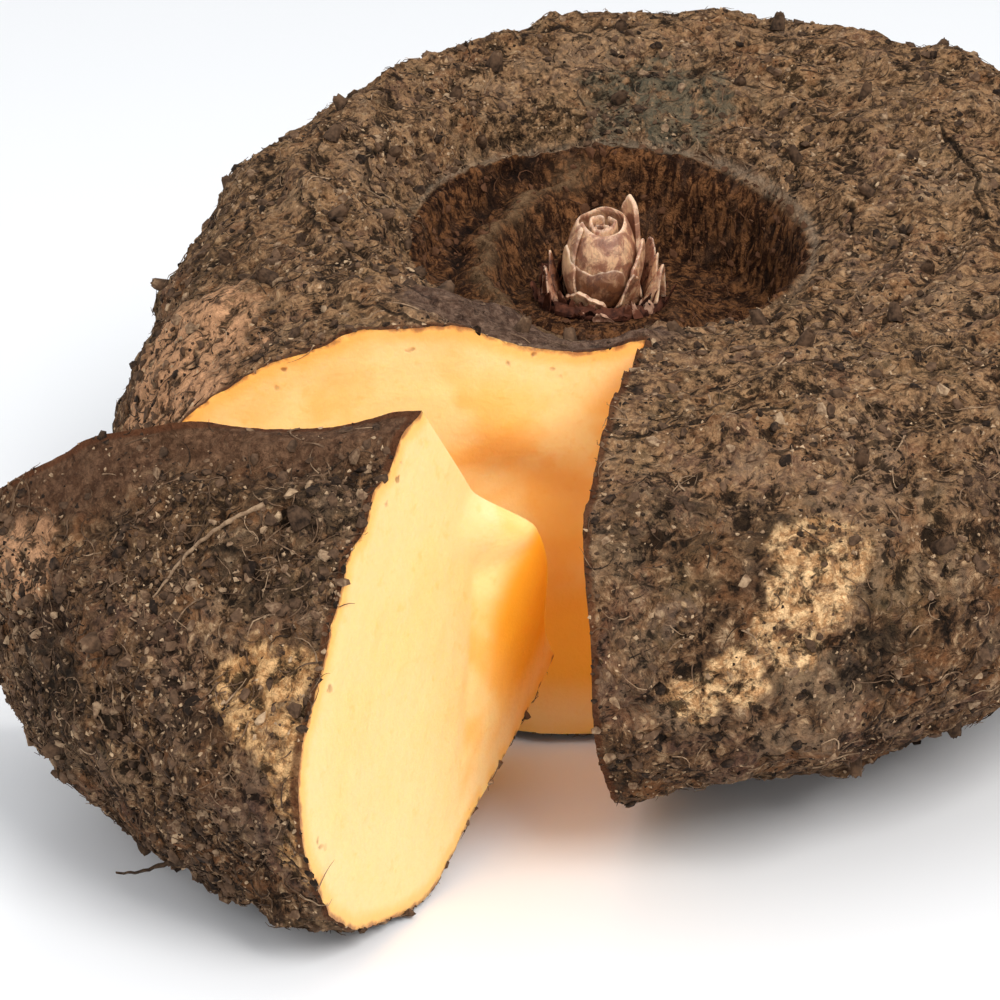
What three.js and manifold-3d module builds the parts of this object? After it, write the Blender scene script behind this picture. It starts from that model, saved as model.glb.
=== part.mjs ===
// Elephant foot yam: a flattened corm with a chunk cut out of its front left side.
// The chunk has been drawn out of its notch and leans outwards on its own skin.
// Millimetres, +Z up, -Y towards the viewer. The origin is the middle of the spot the corm rests on.

import * as THREE from 'three';
import { mergeVertices } from 'three/addons/utils/BufferGeometryUtils.js';
import Module from 'manifold-3d';

// Skin of the whole corm, from the rest spot over the shoulder to the rim of the crown basin.
// Each ring: radius, height, centre x, centre y, share of the crown's tilt.
const skinRings = [
  [0, -1.4, 0, 0, 0],
  [30, -0.6, 0, 0, 0],
  [71, 6, 2, 0.5, 0],
  [90, 13, 4, 1, 0],
  [105.5, 30, 9, 3, 0],
  [106.5, 59, 18, 5.5, 0.25],
  [99.5, 73, 20.5, 10, 0.5],
  [81.5, 84.5, 23, 17.5, 0.8],
  [57, 80.5, 13, 19, 1],
  [43, 74, 5, 20, 1],
  [39, 71, 3.5, 20.5, 1],
];
const rim = skinRings[skinRings.length - 1];
const widthStretch = 0.95;
const depthStretch = 1.08;
const crownTilt = 7.8;

// Basin in the crown: a deep bowl, deepest on the right, and a shallow shelf on the left.
// A level seat in it carries the shoot.
const basinRows = 8;
const shelfDrop = 7;
const bowlDrop = 9;
const bowlSlope = 4;
const bowlCentre = [8, 2];
const bowlRadius = [31, 39];
const seatRadius = 15;
const seatHeight = 57.3;

// Fineness of the skin.
const skinSides = 94;
const skinRows = 30;

// Low swellings of the skin, placed by a golden angle rule.
const wartCount = 170;
const wartHeight = 2.6;
const wartRadius = 6.5;
const lumpHeight = 1.1;
const leafScarSpacing = 11;
const leafScarHeight = 0.8;
const reliefMean = 1.2;
const broadWave = [0.052, 0.047, 0.02];
const fineWave = [0.13, 0.12, 0.15];
const reliefFade = [0.5, 9];

// Blunt stubs of cut roots that stand on the skin.
const stubCount = 90;
const stubLength = 4;
const stubRadius = 2.3;
const stubSides = 6;

// Knife cuts: both start at the inner edge and run out through the skin.
const cutCorner = [12.8, -41.7];
const backCutAngle = 184.3;
const sideCutAngle = 257;
const cutReach = 150;
const cutLow = -12;
const cutHigh = 108;
const cutStep = 6;
const cutMargin = 7;

// Heel of flesh beside the inner edge: it stands out between two heights and widens downwards.
const heelHeight = 8.6;
const heelRise = [2, 38];
const heelEnd = [40, 49];
const heelWidth = 9;
const heelSpread = 1.24;
const heelBend = 37;

// Fall of the chunk's side face beyond the heel.
const faceFall = 2;
const faceFallWidth = 30;
const faceFallAcross = 0.63;
const faceFallUp = 0.78;

// Hollow at the outer foot of the notch's side wall, and the lean of its top.
const wallHollow = 1.5;
const hollowReach = [20, 60];
const hollowTop = 50;
const wallLean = 5;
const leanRise = [42, 72];

// Puffed place, crease and full foot of the notch's back wall.
// Places are the distance from the corner and the height.
const puffPlace = [29, 58];
const puffHeight = 3;
const puffRadius = 9;
const creasePlace = [30, 47];
const creaseDepth = 3.2;
const creaseWidth = 4.5;
const creaseBow = 0.03;
const creaseEnd = [30, 42];
const footSwell = 8;
const footTop = 26;
const footEnd = [22, 42];

// Pose of the drawn out chunk, by the foot of its inner edge.
const chunkFoot = [-7.4, -60.6, 21.5];
const chunkTip = 32.6;
const chunkRoll = -10.6;
const chunkTurn = -14.7;

// Shoot in the crown basin.
const budPlace = [2.5, 22, seatHeight + 0.3];
const budHeight = 18;
const budRadius = 6.4;
const budBelly = 1;
const sheathWall = 0.9;
const coreRadius = 3.4;
const coreSunk = 4;
const outerScaleCount = 5;
const outerScaleWidth = 9.5;
const outerScaleHeight = 13;
const outerScaleStep = 1.7;
const outerScaleWall = 1.1;

// Torn dry scales round the shoot.
const collarInner = 9.4;
const collarOuter = 12.4;
const collarHeight = 2.2;
const tatterCount = 11;
const tatterWidth = 4.2;
const tatterHeight = [3.4, 6];
const tatterWall = 0.8;

const goldenAngle = Math.PI * (3 - Math.sqrt(5));
const goldenShare = 0.618034;
const sliver = 0.03;

const upward = new THREE.Vector3(0, 1, 0);
const backCut = heading(backCutAngle);
const sideCut = heading(sideCutAngle);
const rightward = heading(sideCutAngle + 90);
const frontward = heading(backCutAngle + 90);

const wasm = await Module();
wasm.setup();

// Level unit vector at an angle in degrees from +X.
function heading(degrees) {
  const angle = THREE.MathUtils.degToRad(degrees);
  return new THREE.Vector3(Math.cos(angle), Math.sin(angle), 0);
}

function share(value) {
  return value - Math.floor(value);
}

function smoothStep(low, high, value) {
  return THREE.MathUtils.smoothstep(value, low, high);
}

function hump(distance, radius) {
  return Math.exp(-((distance / radius) ** 2));
}

// Solid from a closed three.js geometry.
function solidOf(geometry) {
  const bare = geometry.clone();
  bare.deleteAttribute('normal');
  bare.deleteAttribute('uv');
  const merged = mergeVertices(bare, 1e-4);
  return new wasm.Manifold(new wasm.Mesh({
    numProp: 3,
    vertProperties: Float32Array.from(merged.attributes.position.array),
    triVerts: Uint32Array.from(merged.index.array),
  }));
}

// Geometry from a solid. Slivers that the cuts and joins leave are drawn together first.
function geometryOf(solid) {
  const mesh = solid.simplify(sliver).getMesh();
  const geometry = new THREE.BufferGeometry();
  geometry.setAttribute('position', new THREE.BufferAttribute(mesh.vertProperties, 3));
  geometry.setIndex(new THREE.BufferAttribute(mesh.triVerts, 1));
  geometry.computeVertexNormals();
  return geometry;
}

// Moves every vertex of a geometry by a rule that gets the vertex and its uv.
function shape(geometry, rule) {
  const place = geometry.attributes.position;
  const uv = geometry.attributes.uv;
  const point = new THREE.Vector3();
  for (let i = 0; i < place.count; i += 1) {
    point.fromBufferAttribute(place, i);
    rule(point, uv.getX(i), uv.getY(i));
    place.setXYZ(i, point.x, point.y, point.z);
  }
  return geometry;
}

// Outline of the skin and the drift of its ring centres, both over the same parameter.
const outline = new THREE.CatmullRomCurve3(
  skinRings.map(([radius, height]) => new THREE.Vector3(radius, height, 0)), false, 'centripetal');
const drift = new THREE.CatmullRomCurve3(
  skinRings.map(([, , x, y, tilt]) => new THREE.Vector3(x, y, tilt)), false, 'catmullrom');

// Drop of the basin floor below the rim plane, for an offset from the middle of the basin.
function basinDrop(x, y, nearness) {
  const bowl = Math.hypot((x - bowlCentre[0]) / bowlRadius[0], (y - bowlCentre[1]) / bowlRadius[1]);
  const shelf = shelfDrop * (1 - smoothStep(0.9, 1, nearness));
  const depth = bowlDrop + bowlSlope * smoothStep(0, 34, x + 0.4 * y);
  return shelf + depth * (1 - smoothStep(0.74, 0.97, bowl));
}

// Point on the smooth skin for an angle and a station: 0 at the rest spot, 1 at the rim, 2 in mid basin.
function smoothSkin(angle, station) {
  const along = Math.min(station, 1);
  const ring = outline.getPoint(along);
  const centre = drift.getPoint(along);
  const nearness = station > 1 ? 1 - (station - 1) ** 1.5 : 1;
  const x = widthStretch * ring.x * nearness * Math.cos(angle);
  const y = depthStretch * ring.x * nearness * Math.sin(angle);
  const drop = station > 1 ? basinDrop(x, y, nearness) : 0;
  const rise = centre.z * Math.tan(THREE.MathUtils.degToRad(crownTilt)) * y;
  const point = new THREE.Vector3(centre.x + x, centre.y + y, ring.y + rise - drop);
  const fromBud = Math.hypot(point.x - budPlace[0], point.y - budPlace[1]);
  if (station > 1) {
    point.z = THREE.MathUtils.lerp(seatHeight, point.z, smoothStep(seatRadius, seatRadius + 7, fromBud));
  }
  return point;
}

function skinNormal(angle, station) {
  const step = 0.004;
  const here = smoothSkin(angle, station);
  const around = smoothSkin(angle + step, station).sub(here);
  const up = smoothSkin(angle, Math.min(station + step, 1.96)).sub(here);
  return around.cross(up).normalize();
}

// Warts stand at golden angle steps from the foot of the corm up to its rim.
const warts = [];
for (let i = 0; i < wartCount; i += 1) {
  const size = 0.45 + 0.55 * share(i * goldenShare * 7.3);
  warts.push({
    place: smoothSkin(i * goldenAngle, 0.2 + 0.72 * share(i * goldenShare * 1.7 + 0.31)),
    height: wartHeight * size,
    radius: wartRadius * (0.6 + 0.4 * share(i * goldenShare * 3.1)),
  });
}

// Height of lumps, leaf scar rings and warts over the smooth skin.
function skinRelief(point, station) {
  const { x, y, z } = point;
  const broad = Math.sin(broadWave[0] * x + 1.3) * Math.sin(broadWave[1] * y + 0.4 + broadWave[2] * z);
  const across = Math.sin(fineWave[0] * x + Math.sin(0.09 * y));
  const fine = across * Math.sin(fineWave[1] * y + fineWave[2] * z + 1.1);
  const reach = Math.hypot(x - rim[2], y - rim[3]);
  const scar = Math.sin((2 * Math.PI * reach) / leafScarSpacing + 0.8 * Math.sin(0.06 * x));
  const crown = smoothStep(0.6, 0.75, station);
  let relief = lumpHeight * (broad + 0.7 * fine) + leafScarHeight * scar * crown - reliefMean;
  for (const wart of warts) {
    const distance = point.distanceTo(wart.place);
    if (distance < 3 * wart.radius) relief += wart.height * hump(distance, wart.radius);
  }
  const onFloor = smoothStep(reliefFade[0], reliefFade[1], z);
  const inBasin = 1 - smoothStep(0.985, 1.02, station);
  return relief * onFloor * inBasin;
}

function skinPoint(angle, station) {
  const point = smoothSkin(angle, station);
  return point.addScaledVector(skinNormal(angle, station), skinRelief(point, station));
}

// The closed skin is a sphere whose rows are laid on the stations.
function wholeCorm() {
  const rows = skinRows + basinRows;
  const ball = new THREE.SphereGeometry(1, skinSides, rows);
  return shape(ball, (point, around, up) => {
    const row = up * rows;
    const station = row < skinRows ? row / skinRows : 1 + (row - skinRows) / basinRows;
    const angle = (around % 1) * 2 * Math.PI + Math.PI;
    point.copy(row === 0 || row === rows ? smoothSkin(0, station) : skinPoint(angle, station));
  });
}

// Flesh of the side cut, over the distance from the inner edge and the height.
// A heel stands out beside the inner edge, and the rest of the chunk's face falls away from it.
function heelFlesh(out, height) {
  const under = 1 - smoothStep(heelEnd[0], heelEnd[1], height);
  const high = smoothStep(heelRise[0], heelRise[1], height) * under;
  const width = heelWidth + heelSpread * Math.max(0, heelBend - height);
  return heelHeight * high * (1 - smoothStep(0, width, out));
}

// Relief of the chunk's side face.
function chunkSideFlesh(out, height) {
  const beyond = faceFallAcross * (out - heelWidth) + faceFallUp * (height - heelBend);
  return heelFlesh(out, height) - faceFall * smoothStep(0, faceFallWidth, beyond);
}

// Relief of the notch's side wall, which leans over towards its top and is hollowed at its outer foot.
function notchSideFlesh(out, height) {
  const outer = smoothStep(hollowReach[0], hollowReach[1], out);
  const hollow = wallHollow * outer * (1 - smoothStep(0, hollowTop, height));
  return heelFlesh(out, height) + hollow - wallLean * smoothStep(leanRise[0], leanRise[1], height);
}

// Relief of the notch's back wall: a puffed place near the top, a crease under it and a full foot.
function notchBackFlesh(out, height) {
  const puff = puffHeight * hump(Math.hypot(out - puffPlace[0], 0.9 * (height - puffPlace[1])), puffRadius);
  const bend = height - creasePlace[1] + creaseBow * (out - creasePlace[0]) ** 2;
  const crease = creaseDepth * hump(bend, creaseWidth) * (1 - smoothStep(creaseEnd[0], creaseEnd[1], out));
  const low = 1 - smoothStep(0, footTop, height);
  return puff - crease + footSwell * low * (1 - smoothStep(footEnd[0], footEnd[1], out));
}

// The chunk's back face is nearly flat.
function chunkBackFlesh(out, height) {
  return 0.7 * Math.sin(0.09 * out + 0.4) * Math.sin(0.11 * height);
}

// Solid between the two cuts, with the relief of its side and back faces.
function cutBlock(sideFlesh, backFlesh) {
  const steps = Math.round(cutReach / cutStep);
  const rows = Math.round((cutHigh - cutLow) / cutStep);
  const block = new THREE.BoxGeometry(cutReach, cutReach, cutHigh - cutLow, steps, steps, rows);
  return shape(block, (point) => {
    const outBack = point.x + cutReach / 2;
    const outSide = point.y + cutReach / 2;
    const height = point.z + (cutHigh + cutLow) / 2;
    const toSide = outBack < 1e-6 ? sideFlesh(outSide, height) : 0;
    const toFront = outSide < 1e-6 ? backFlesh(outBack, height) : 0;
    point.set(cutCorner[0], cutCorner[1], height);
    point.addScaledVector(backCut, outBack).addScaledVector(sideCut, outSide);
    point.addScaledVector(rightward, toSide).addScaledVector(frontward, toFront);
  });
}

// True where a root stub would stand across a cut.
function nearCut(point) {
  const offset = new THREE.Vector3(point.x - cutCorner[0], point.y - cutCorner[1], 0);
  const beside = Math.abs(offset.dot(rightward)) < cutMargin && offset.dot(sideCut) > -cutMargin;
  const behind = Math.abs(offset.dot(frontward)) < cutMargin && offset.dot(backCut) > -cutMargin;
  return beside || behind;
}

// Blunt root stubs at golden angle steps, each leaning a little and sunk into the skin.
function addStubs(corm) {
  let result = corm;
  for (let i = 0; i < stubCount; i += 1) {
    const angle = i * goldenAngle + 0.9;
    const station = 0.24 + 0.66 * share(i * goldenShare * 2.3 + 0.17);
    const root = skinPoint(angle, station);
    if (!nearCut(root)) {
      const size = 0.6 + 0.4 * share(i * goldenShare * 5.1);
      const stub = new THREE.CylinderGeometry(0.5 * stubRadius, stubRadius * size, stubLength, stubSides);
      stub.translate(0, stubLength * (0.4 * size - 0.35), 0);
      const lean = new THREE.Vector3(Math.sin(i * 1.7), Math.cos(i * 2.3), -0.6).multiplyScalar(0.3);
      const axis = skinNormal(angle, station).add(lean).normalize();
      stub.applyQuaternion(new THREE.Quaternion().setFromUnitVectors(upward, axis));
      stub.translate(root.x, root.y, root.z);
      result = result.add(solidOf(stub));
    }
  }
  return result;
}

// Everything above the surface that the pieces rest on.
function aboveFloor() {
  return new THREE.BoxGeometry(800, 800, 400).translate(0, 0, 200);
}

// Wraps a flat scale round the shoot, leaning outwards towards its tip.
function wrapScale(geometry, radius, turn, lean) {
  return shape(geometry, (point) => {
    const out = radius + point.z + lean * point.y;
    const angle = turn + point.x / radius;
    point.set(out * Math.cos(angle), out * Math.sin(angle), point.y);
  });
}

// Pointed leaf scale: a thick blade, wide at its foot and drawn in to its tip.
function pointedScale(width, height, thickness) {
  const half = width / 2;
  const leaf = new THREE.Shape();
  leaf.moveTo(half, 0);
  leaf.quadraticCurveTo(half, 0.65 * height, 0, height);
  leaf.quadraticCurveTo(-half, 0.65 * height, -half, 0);
  leaf.lineTo(half, 0);
  const thick = { depth: thickness, steps: 1, bevelEnabled: false, curveSegments: 3 };
  return new THREE.ExtrudeGeometry(leaf, thick);
}

// Shoot: a sheath rolled round a blunt core, with pointed scales against its foot.
function budGeometry() {
  const sheath = new THREE.LatheGeometry([
    [0, 0], [budRadius, 0], [budRadius + budBelly, 3], [budRadius + 0.6, 10], [budRadius - 0.6, budHeight],
    [budRadius - 0.6 - sheathWall, budHeight], [budRadius - budBelly, budHeight - coreSunk - 0.5],
    [coreRadius, budHeight - coreSunk], [coreRadius - 0.8, budHeight - 0.5], [0, budHeight + 0.6],
  ].map(([x, y]) => new THREE.Vector2(x, y)), 14);
  sheath.rotateX(Math.PI / 2);
  shape(sheath, (point) => {
    const turn = Math.atan2(point.y, point.x);
    const high = smoothStep(0.3 * budHeight, budHeight, point.z);
    point.z += high * (1.4 * Math.cos(turn - 2.4) + 0.7 * Math.sin(3 * turn));
    point.x += 1.3 * high;
  });
  let bud = solidOf(sheath);
  for (let i = 0; i < outerScaleCount; i += 1) {
    const leaf = pointedScale(outerScaleWidth, outerScaleHeight - outerScaleStep * i, outerScaleWall);
    const scale = wrapScale(leaf, budRadius + 0.5 + 0.12 * i, -2.4 + i * 2.1, 0.12);
    bud = bud.add(solidOf(scale));
  }
  return geometryOf(bud);
}

// Collar: a low ring of dry scale remains with torn tips.
function collarGeometry() {
  const ring = new THREE.LatheGeometry([
    [collarInner, 0], [collarOuter, 0], [collarOuter - 0.8, collarHeight], [collarInner + 0.4, collarHeight],
    [collarInner, 0],
  ].map(([x, y]) => new THREE.Vector2(x, y)), 20);
  ring.rotateX(Math.PI / 2);
  let collar = solidOf(ring);
  for (let i = 0; i < tatterCount; i += 1) {
    const turn = (i * 2 * Math.PI) / tatterCount + 0.2 * Math.sin(i * 2.9);
    const height = THREE.MathUtils.lerp(tatterHeight[0], tatterHeight[1], share(i * goldenShare * 1.9));
    const tatter = wrapScale(pointedScale(tatterWidth, height, tatterWall), collarInner + 0.7, turn, 0.3);
    collar = collar.add(solidOf(tatter.translate(0, 0, 0.6)));
  }
  return geometryOf(collar);
}

function piece(name, geometry, color, roughness) {
  const mesh = new THREE.Mesh(geometry, new THREE.MeshStandardMaterial({ color, roughness, metalness: 0 }));
  mesh.name = name;
  return mesh;
}

const skin = addStubs(solidOf(wholeCorm()));

const notch = solidOf(cutBlock(notchSideFlesh, notchBackFlesh));
const cormSolid = skin.subtract(notch).intersect(solidOf(aboveFloor()));
const corm = piece('corm', geometryOf(cormSolid), 0x55463a, 0.95);

// The chunk is made where it grew. Its floor is the level floor, turned back into that place.
const chunkPose = new THREE.Object3D();
chunkPose.position.set(...chunkFoot);
chunkPose.rotation.set(
  THREE.MathUtils.degToRad(chunkTip), THREE.MathUtils.degToRad(chunkRoll),
  THREE.MathUtils.degToRad(chunkTurn), 'ZYX');
chunkPose.updateMatrix();
const chunkFloor = aboveFloor().applyMatrix4(chunkPose.matrix.clone().invert());
chunkFloor.translate(cutCorner[0], cutCorner[1], 0);
const cutOut = solidOf(cutBlock(chunkSideFlesh, chunkBackFlesh));
const chunkSolid = skin.intersect(cutOut).intersect(solidOf(chunkFloor));
const chunk = piece(
  'chunk', geometryOf(chunkSolid).translate(-cutCorner[0], -cutCorner[1], 0), 0x5a4a3b, 0.95);
chunk.position.copy(chunkPose.position);
chunk.rotation.copy(chunkPose.rotation);

const bud = piece('bud', budGeometry(), 0xd8a684, 0.6);
bud.position.set(...budPlace);

const collar = piece('collar', collarGeometry(), 0x4a2c22, 0.85);
collar.position.set(...budPlace);

const yam = new THREE.Group();
yam.add(corm, chunk, bud, collar);

export default yam;
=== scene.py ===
"""Elephant foot yam, cut open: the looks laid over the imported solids.

The corm and its chunk are made again as fine skins, cut by fine knives, and dressed with
crumbs of old scale, rootlets and root stubs. The shoot and its dry collar are leaf by leaf.
Forms are worked out in millimetres and written to the meshes in metres.
"""

import logging
import math
from dataclasses import dataclass, field
from enum import Enum
from typing import Callable, Optional, Sequence

import bpy
import numpy as np
from bpy.types import Material, Modifier, Node, NodeSocket, NodeTree, Object
from mathutils import Matrix, Vector
from mathutils.bvhtree import BVHTree
from mathutils.kdtree import KDTree


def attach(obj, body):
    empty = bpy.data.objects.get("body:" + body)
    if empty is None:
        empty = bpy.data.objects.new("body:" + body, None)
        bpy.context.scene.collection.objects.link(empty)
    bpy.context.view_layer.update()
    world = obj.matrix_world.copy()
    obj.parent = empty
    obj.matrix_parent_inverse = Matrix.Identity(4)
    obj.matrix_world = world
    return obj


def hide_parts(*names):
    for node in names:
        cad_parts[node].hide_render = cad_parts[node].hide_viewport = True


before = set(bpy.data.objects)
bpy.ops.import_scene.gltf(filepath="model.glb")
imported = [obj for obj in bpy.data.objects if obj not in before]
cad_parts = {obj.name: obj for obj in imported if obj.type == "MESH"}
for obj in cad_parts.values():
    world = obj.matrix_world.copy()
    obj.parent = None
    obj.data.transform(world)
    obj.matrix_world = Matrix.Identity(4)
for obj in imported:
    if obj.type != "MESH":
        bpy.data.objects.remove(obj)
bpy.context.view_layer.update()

LOG = logging.getLogger("yam")
MM = 0.001
GOLDEN_ANGLE = math.pi * (3 - math.sqrt(5))
GOLDEN_SHARE = 0.618034
Colour = tuple[float, float, float, float]
Spot = tuple[tuple[float, float, float], float]


class Slot(Enum):
    """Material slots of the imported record."""

    SKIN = "skin"
    CUT_SKIN = "cut_skin"
    SHOOT = "shoot"
    DRY_SCALE = "dry_scale"


class Face(Enum):
    """Which material a face of a cut body wears."""

    SKIN = 0
    FLESH = 1


# Small helpers


def smooth_step(low: float, high: float, value: np.ndarray) -> np.ndarray:
    """Eased 0 to 1 between two values."""
    share = np.clip((value - low) / (high - low), 0, 1)
    return share * share * (3 - 2 * share)


def hump(distance: np.ndarray, radius: float) -> np.ndarray:
    """Bell curve of a distance."""
    return np.exp(-((distance / radius) ** 2))


def share_of(value: np.ndarray) -> np.ndarray:
    """Part of a value after the point."""
    return value - np.floor(value)


def heading(degrees: float) -> np.ndarray:
    """Level unit vector at an angle from +X."""
    return np.array([math.cos(math.radians(degrees)), math.sin(math.radians(degrees)), 0.0])


def deselect() -> None:
    """Leaves edit mode and deselects everything."""
    if bpy.context.object and bpy.context.object.mode != "OBJECT":
        bpy.ops.object.mode_set(mode="OBJECT")
    bpy.ops.object.select_all(action="DESELECT")


def take(name: str) -> Object:
    """Names the primitive that was just added.

    Args:
        name: name of the piece.

    Returns:
        The new object.
    """
    made = bpy.context.object
    made.name = name
    made.data.name = name
    return made


def activate(piece: Object) -> None:
    """Selects one piece alone and makes it active."""
    deselect()
    piece.select_set(True)
    bpy.context.view_layer.objects.active = piece


def places_of(piece: Object) -> np.ndarray:
    """Vertex places of a piece, in millimetres."""
    flat = np.zeros(len(piece.data.vertices) * 3, np.float32)
    piece.data.vertices.foreach_get("co", flat)
    return flat.reshape(-1, 3).astype(float) / MM


def set_places(piece: Object, places: np.ndarray) -> None:
    """Moves the vertices of a piece to places in millimetres."""
    piece.data.vertices.foreach_set("co", (places * MM).astype(np.float32).ravel())
    piece.data.update()


def apply_modifier(piece: Object, modifier: Modifier) -> None:
    """Applies a modifier to its piece."""
    activate(piece)
    bpy.ops.object.modifier_apply(modifier=modifier.name)


def smooth_by_angle(piece: Object, degrees: float) -> None:
    """Shades a piece smooth except over sharp edges."""
    activate(piece)
    bpy.ops.object.shade_smooth_by_angle(angle=math.radians(degrees))


def tidy_normals(piece: Object) -> None:
    """Merges doubles and turns all faces outwards.

    Args:
        piece: piece to tidy.
    """
    activate(piece)
    bpy.ops.object.mode_set(mode="EDIT")
    bpy.ops.mesh.select_all(action="SELECT")
    bpy.ops.mesh.remove_doubles(threshold=1e-6)
    bpy.ops.mesh.normals_make_consistent(inside=False)
    bpy.ops.object.mode_set(mode="OBJECT")


def remove(piece: Object) -> None:
    """Deletes a helper piece."""
    bpy.data.objects.remove(piece, do_unlink=True)


def store(piece: Object, name: str, values: np.ndarray) -> None:
    """Keeps one number per vertex for the materials to read."""
    layer = piece.data.attributes.new(name, "FLOAT", "POINT")
    layer.data.foreach_set("value", values.astype(np.float32))


def read(piece: Object, name: str) -> np.ndarray:
    """Numbers kept on the vertices of a piece."""
    values = np.zeros(len(piece.data.vertices), np.float32)
    piece.data.attributes[name].data.foreach_get("value", values)
    return values.astype(float)


def wear(piece: Object, skin: Material, flesh: Material) -> None:
    """Puts the skin and flesh materials in a body's two slots."""
    piece.data.materials[Face.SKIN.value] = skin
    piece.data.materials[Face.FLESH.value] = flesh


def mesh_piece(name: str, places: np.ndarray, faces: Sequence[Sequence[int]]) -> Object:
    """Piece from places in millimetres and faces.

    Args:
        name: name of the piece.
        places: vertex places in millimetres.
        faces: vertex indices of each face.

    Returns:
        The new object.
    """
    mesh = bpy.data.meshes.new(name)
    mesh.from_pydata((places * MM).tolist(), [], faces)
    piece = bpy.data.objects.new(name, mesh)
    bpy.context.scene.collection.objects.link(piece)
    return piece


# Node graphs


@dataclass
class Graph:
    """A node tree that a finish fills in."""

    tree: NodeTree

    def node(self, kind: str, **settings: object) -> Node:
        """Adds a node with its settings.

        Args:
            kind: kind of node.
            **settings: values of its own settings.

        Returns:
            The node.
        """
        made = self.tree.nodes.new(kind)
        for key, value in settings.items():
            setattr(made, key, value)
        return made

    def feed(self, socket: NodeSocket, value: object) -> None:
        """Links a socket to an output, or sets its constant.

        Args:
            socket: input to fill.
            value: output or constant.
        """
        if isinstance(value, NodeSocket):
            self.tree.links.new(value, socket)
        else:
            socket.default_value = value

    def noise(self, point: object, scale: float, detail: float = 2.0, rough: float = 0.5,
              warp: float = 0.0) -> NodeSocket:
        """Noise of a number of features per metre.

        Args:
            point: point to read it at.
            scale: features per metre.
            detail: finer layers.
            rough: share of the finer layers.
            warp: how far it is bent.

        Returns:
            The noise, round 0.5.
        """
        made = self.node("ShaderNodeTexNoise")
        self.feed(made.inputs["Vector"], point)
        for name, value in (("Scale", scale), ("Detail", detail), ("Roughness", rough), ("Distortion", warp)):
            made.inputs[name].default_value = value
        return made.outputs["Fac"]

    def cells(self, point: object, scale: float) -> NodeSocket:
        """Distance in a pattern of cells.

        Args:
            point: point to read it at.
            scale: cells per metre.

        Returns:
            The distance from the nearest cell point.
        """
        made = self.node("ShaderNodeTexVoronoi")
        self.feed(made.inputs["Vector"], point)
        made.inputs["Scale"].default_value = scale
        return made.outputs["Distance"]

    def stretch(self, point: object, scale: Sequence[float]) -> NodeSocket:
        """Point scaled along each axis.

        Args:
            point: point to stretch.
            scale: factor along each axis.

        Returns:
            The point.
        """
        made = self.node("ShaderNodeMapping")
        self.feed(made.inputs["Vector"], point)
        made.inputs["Scale"].default_value = scale
        return made.outputs["Vector"]

    def warp(self, point: object, scale: float, amount: float) -> NodeSocket:
        """Point pushed about by noise, by an amount in metres.

        Args:
            point: point to push.
            scale: features of the noise per metre.
            amount: largest push in metres.

        Returns:
            The point.
        """
        field_node = self.node("ShaderNodeTexNoise")
        self.feed(field_node.inputs["Vector"], point)
        field_node.inputs["Scale"].default_value = scale
        field_node.inputs["Detail"].default_value = 2.0
        centred = self.node("ShaderNodeVectorMath", operation="SUBTRACT")
        self.feed(centred.inputs[0], field_node.outputs["Color"])
        centred.inputs[1].default_value = (0.5, 0.5, 0.5)
        moved = self.node("ShaderNodeVectorMath", operation="MULTIPLY_ADD")
        self.feed(moved.inputs[0], centred.outputs[0])
        moved.inputs[1].default_value = (amount, amount, amount)
        self.feed(moved.inputs[2], point)
        return moved.outputs[0]

    def span(self, value: object, low: float, high: float, start: float = 0.0,
             end: float = 1.0) -> NodeSocket:
        """Value eased from one range to another.

        Args:
            value: value to ease.
            low: value at the start.
            high: value at the end.
            start: result at the start.
            end: result at the end.

        Returns:
            The result.
        """
        made = self.node("ShaderNodeMapRange", interpolation_type="SMOOTHSTEP")
        self.feed(made.inputs["Value"], value)
        for name, number in (("From Min", low), ("From Max", high), ("To Min", start), ("To Max", end)):
            made.inputs[name].default_value = number
        return made.outputs["Result"]

    def math(self, operation: str, first: object, second: object = 0.0, clamp: bool = False) -> NodeSocket:
        """Result of a sum on two values.

        Args:
            operation: name of the sum.
            first: first value.
            second: second value.
            clamp: true to keep it from 0 to 1.

        Returns:
            The result.
        """
        made = self.node("ShaderNodeMath", operation=operation, use_clamp=clamp)
        self.feed(made.inputs[0], first)
        self.feed(made.inputs[1], second)
        return made.outputs[0]

    def mix(self, share: object, first: object, second: object) -> NodeSocket:
        """Mix of two colours.

        Args:
            share: share of the second colour.
            first: first colour.
            second: second colour.

        Returns:
            The colour.
        """
        made = self.node("ShaderNodeMix", data_type="RGBA")
        self.feed(made.inputs["Factor"], share)
        self.feed(made.inputs[6], first)
        self.feed(made.inputs[7], second)
        return made.outputs[2]

    def ramp(self, value: object, stops: Sequence[tuple[float, Colour]]) -> NodeSocket:
        """Colour of a value between stops.

        Args:
            value: value from 0 to 1.
            stops: places and colours.

        Returns:
            The colour.
        """
        made = self.node("ShaderNodeValToRGB")
        band = made.color_ramp
        while len(band.elements) < len(stops):
            band.elements.new(0.5)
        for element, (place, colour) in zip(band.elements, stops):
            element.position = place
            element.color = colour
        self.feed(made.inputs["Fac"], value)
        return made.outputs["Color"]

    def bump(self, height: object, strength: float, depth: float) -> NodeSocket:
        """Normal bent by a height, whose full step is a depth in metres.

        Args:
            height: height from 0 to 1.
            strength: share of the bump.
            depth: depth of a full step in metres.

        Returns:
            The normal.
        """
        made = self.node("ShaderNodeBump")
        made.inputs["Strength"].default_value = strength
        made.inputs["Distance"].default_value = depth
        self.feed(made.inputs["Height"], height)
        return made.outputs["Normal"]

    def object_point(self) -> NodeSocket:
        """Object coordinates."""
        return self.node("ShaderNodeTexCoord").outputs["Object"]

    def attribute(self, name: str) -> NodeSocket:
        """A number kept on the mesh."""
        return self.node("ShaderNodeAttribute", attribute_name=name).outputs["Fac"]

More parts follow.
